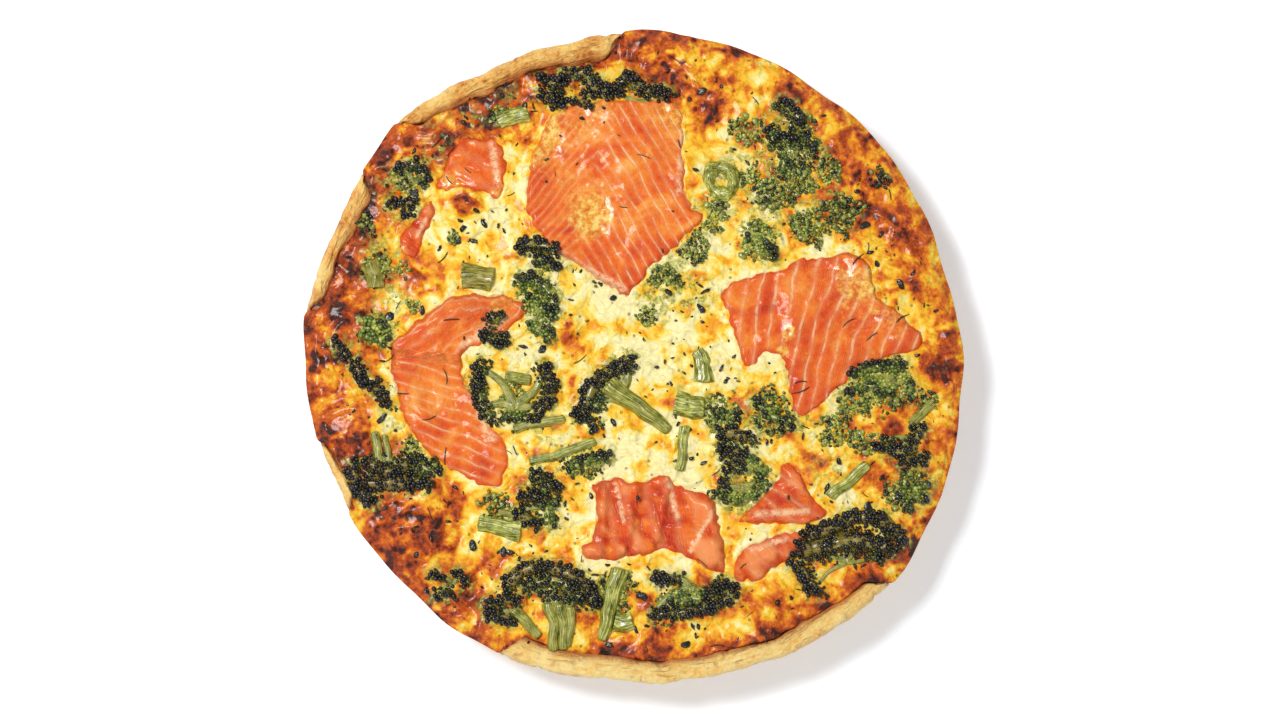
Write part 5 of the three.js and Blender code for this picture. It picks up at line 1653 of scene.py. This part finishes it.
def build_pepper(rng):
    """Cracked pepper and seeds of mixed sizes, fewer on the fish."""
    x, y = random_places(rng, BIT_COUNT * 3, RIM_RADIUS - 4)
    fish_away, _ = toppings_near(x, y)
    crowd = fractal(on_plane(x, y), 16, 51, 2)
    lot = rng.uniform(0, 1, len(x))
    keep = (lot < 0.42 + 0.7 * crowd) & ((fish_away > 0.5) | (rng.uniform(0, 1, len(x)) < 0.12))
    x, y = x[keep][:BIT_COUNT], y[keep][:BIT_COUNT]
    size = 0.3 + 0.85 * rng.power(0.5, len(x)) * rng.uniform(0.2, 1, len(x))
    length = size * rng.uniform(1, 2.3, len(x))
    sizes = np.stack([length, size * rng.uniform(0.6, 1, len(x)), size * 0.7], -1)
    centres = np.stack([x, y, top_height(x, y) + size * 0.3 + 0.35], -1)
    turns = rng.uniform(0, ANY_TURN, len(x))
    dark = np.full(len(x), 1.0)
    template = ball_template(7, 4)
    return grain_piece("cracked_pepper", template, centres, sizes, turns, dark, dark, 0.42, 0.9)


def build_flakes(rng):
    """Burnt flakes: bigger crumpled lumps, most of them towards the rim."""
    radius = 108 * rng.uniform(0, 1, FLAKE_COUNT) ** 0.38
    turn = rng.uniform(0, ANY_TURN, FLAKE_COUNT)
    x, y = radius * np.cos(turn), radius * np.sin(turn)
    fish_away, _ = toppings_near(x, y)
    x, y = x[fish_away > 1], y[fish_away > 1]
    long_half = rng.uniform(1.0, 2.4, len(x))
    sizes = np.stack([long_half, long_half * rng.uniform(0.35, 0.7, len(x)), np.full(len(x), 0.55)], -1)
    centres = np.stack([x, y, top_height(x, y) + 0.6], -1)
    scorch = rng.uniform(0.75, 1.1, len(x))
    turns = rng.uniform(0, ANY_TURN, len(x))
    bud = np.ones(len(x))
    template = ball_template(12, 7)
    return grain_piece("burnt_flakes", template, centres, sizes, turns, scorch, bud, 0.55, 1.0)


def build_crumbs(rng):
    """Mossy patches of small buds on a jittered lattice, torn at their edges by noise, with soft
    crumbs of flesh between them."""
    parts = []
    for cx, cy, spread, density, scorch in CRUMBS:
        steps = np.arange(-1.5 * spread, 1.5 * spread, CRUMB_SPACING)
        gx, gy = (grid.ravel() for grid in np.meshgrid(steps, steps))
        x = cx + gx + rng.normal(0, CRUMB_JITTER, gx.shape)
        y = cy + gy + rng.normal(0, CRUMB_JITTER, gx.shape)
        torn = fractal(on_plane(x, y), 3.4, 52, 3)
        keep = torn > 0.9 * (np.hypot(gx, gy) / spread) ** 2 - 0.3 - density / 320
        shade = scorch + 0.45 * torn + rng.normal(0, 0.2, x.shape)
        shade = shade + 0.5 * (rng.uniform(0, 1, x.shape) < 0.1)
        parts.append(np.stack([x, y, np.clip(shade, -0.05, 1.1), 0.6 * np.clip(torn, 0, 1)], -1)[keep])
    x, y, scorch, heap = np.concatenate(parts).T
    fish_away, _ = toppings_near(x, y)
    keep = (fish_away > 0.6) & (np.hypot(x, y) < RIM_RADIUS - 5)
    x, y, scorch, heap = x[keep], y[keep], scorch[keep], heap[keep]
    bud = (rng.uniform(0, 1, len(x)) < CRUMB_BUD_SHARE).astype(float)
    size = np.where(bud > 0.5, rng.uniform(0.4, 0.72, len(x)), rng.uniform(0.6, 1.1, len(x)))
    flat = np.where(bud > 0.5, 0.95, 0.5)
    sizes = np.stack([size * np.where(bud > 0.5, 1.1, 1.5), size, size * flat], -1)
    centres = np.stack([x, y, top_height(x, y) + 0.6 + heap], -1)
    scorch = np.where(bud > 0.5, scorch, scorch * 0.4 - 0.15)
    turns = rng.uniform(0, ANY_TURN, len(x))
    template = ball_template(6, 3)
    return grain_piece("broccoli_crumbs", template, centres, sizes, turns, scorch, bud, 0.35, 0.9)


def build_dill(rng):
    """Dill needles: thin bent threads."""
    x, y = random_places(rng, DILL_COUNT, RIM_RADIUS - 8)
    parts = []
    for px, py in zip(x, y):
        turn = rng.uniform(0, ANY_TURN)
        t = np.linspace(-0.5, 0.5, DILL_POINTS)
        length = rng.uniform(2.5, 7)
        bend = rng.uniform(-0.5, 0.5) * t * t
        lx = px + length * (t * np.cos(turn) - bend * np.sin(turn))
        ly = py + length * (t * np.sin(turn) + bend * np.cos(turn))
        path = np.stack([lx, ly, top_height(lx, ly) + 0.5], -1)
        thick = rounded(np.full(DILL_POINTS, rng.uniform(0.15, 0.25)), 0.5)
        parts.append(closed_sweep(*sweep(path, thick, 5, 2, 0.0), rng.uniform(0.6, 1.0), 1.0))
    return join_parts("dill_needles", parts)


herb_random = np.random.default_rng(23)
for build_herb in (build_pepper, build_flakes, build_crumbs, build_dill):
    herb = build_herb(herb_random)
    herb.data.materials.append(roasted)
    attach(herb, "root")

# Floor and light. A plain white floor, one soft lamp high over the far left side, a weak lamp in
# front, and an even pale room.
FLOOR_HALF = 3.0
FLOOR_GLOW = 0.26
FLOOR_COLOURS = ((0.3, (244, 248, 255)), (0.7, (246, 250, 255)))
ROOM_GLOW = 0.37


def build_floor():
    """A square white floor, just under the foot of the case."""
    corners = np.array([[-1, -1, 0], [1, -1, 0], [1, 1, 0], [-1, 1, 0]]) * FLOOR_HALF / MM
    floor = new_piece("floor", corners + np.array([0, 0, -0.05]), [[0, 1, 2, 3]])
    material, tree, shader = new_material("white floor")
    tone = ramp(tree, cloud(tree, place_in_mm(tree), 60), FLOOR_COLOURS)
    feed(tree, shader, {
        "Base Color": tone, "Roughness": 0.9, "Emission Color": tone, "Emission Strength": FLOOR_GLOW,
    })
    floor.data.materials.append(material)
    return floor


def add_lamp(name, azimuth, elevation, distance, size, power):
    """A square lamp that looks at the middle of the quiche from the given direction."""
    a, e = np.radians(azimuth), np.radians(elevation)
    place = Vector((np.cos(e) * np.cos(a), np.cos(e) * np.sin(a), np.sin(e))) * distance
    data = bpy.data.lights.new(name, "AREA")
    data.size = size
    data.energy = power
    lamp = bpy.data.objects.new(name, data)
    lamp.location = place
    lamp.rotation_euler = (-place).to_track_quat("-Z", "Y").to_euler()
    bpy.context.collection.objects.link(lamp)


build_floor()
add_lamp("key lamp", 153, 68, 1.3, 0.27, 13.2)
add_lamp("front lamp", -75, 38, 1.4, 0.6, 3.0)
world = bpy.data.worlds.new("room")
world.use_nodes = True
room_light = world.node_tree.nodes["Background"]
feed(world.node_tree, room_light, {"Color": (1, 1, 1, 1), "Strength": ROOM_GLOW})
bpy.context.scene.world = world
bpy.context.scene.view_settings.view_transform = "Standard"
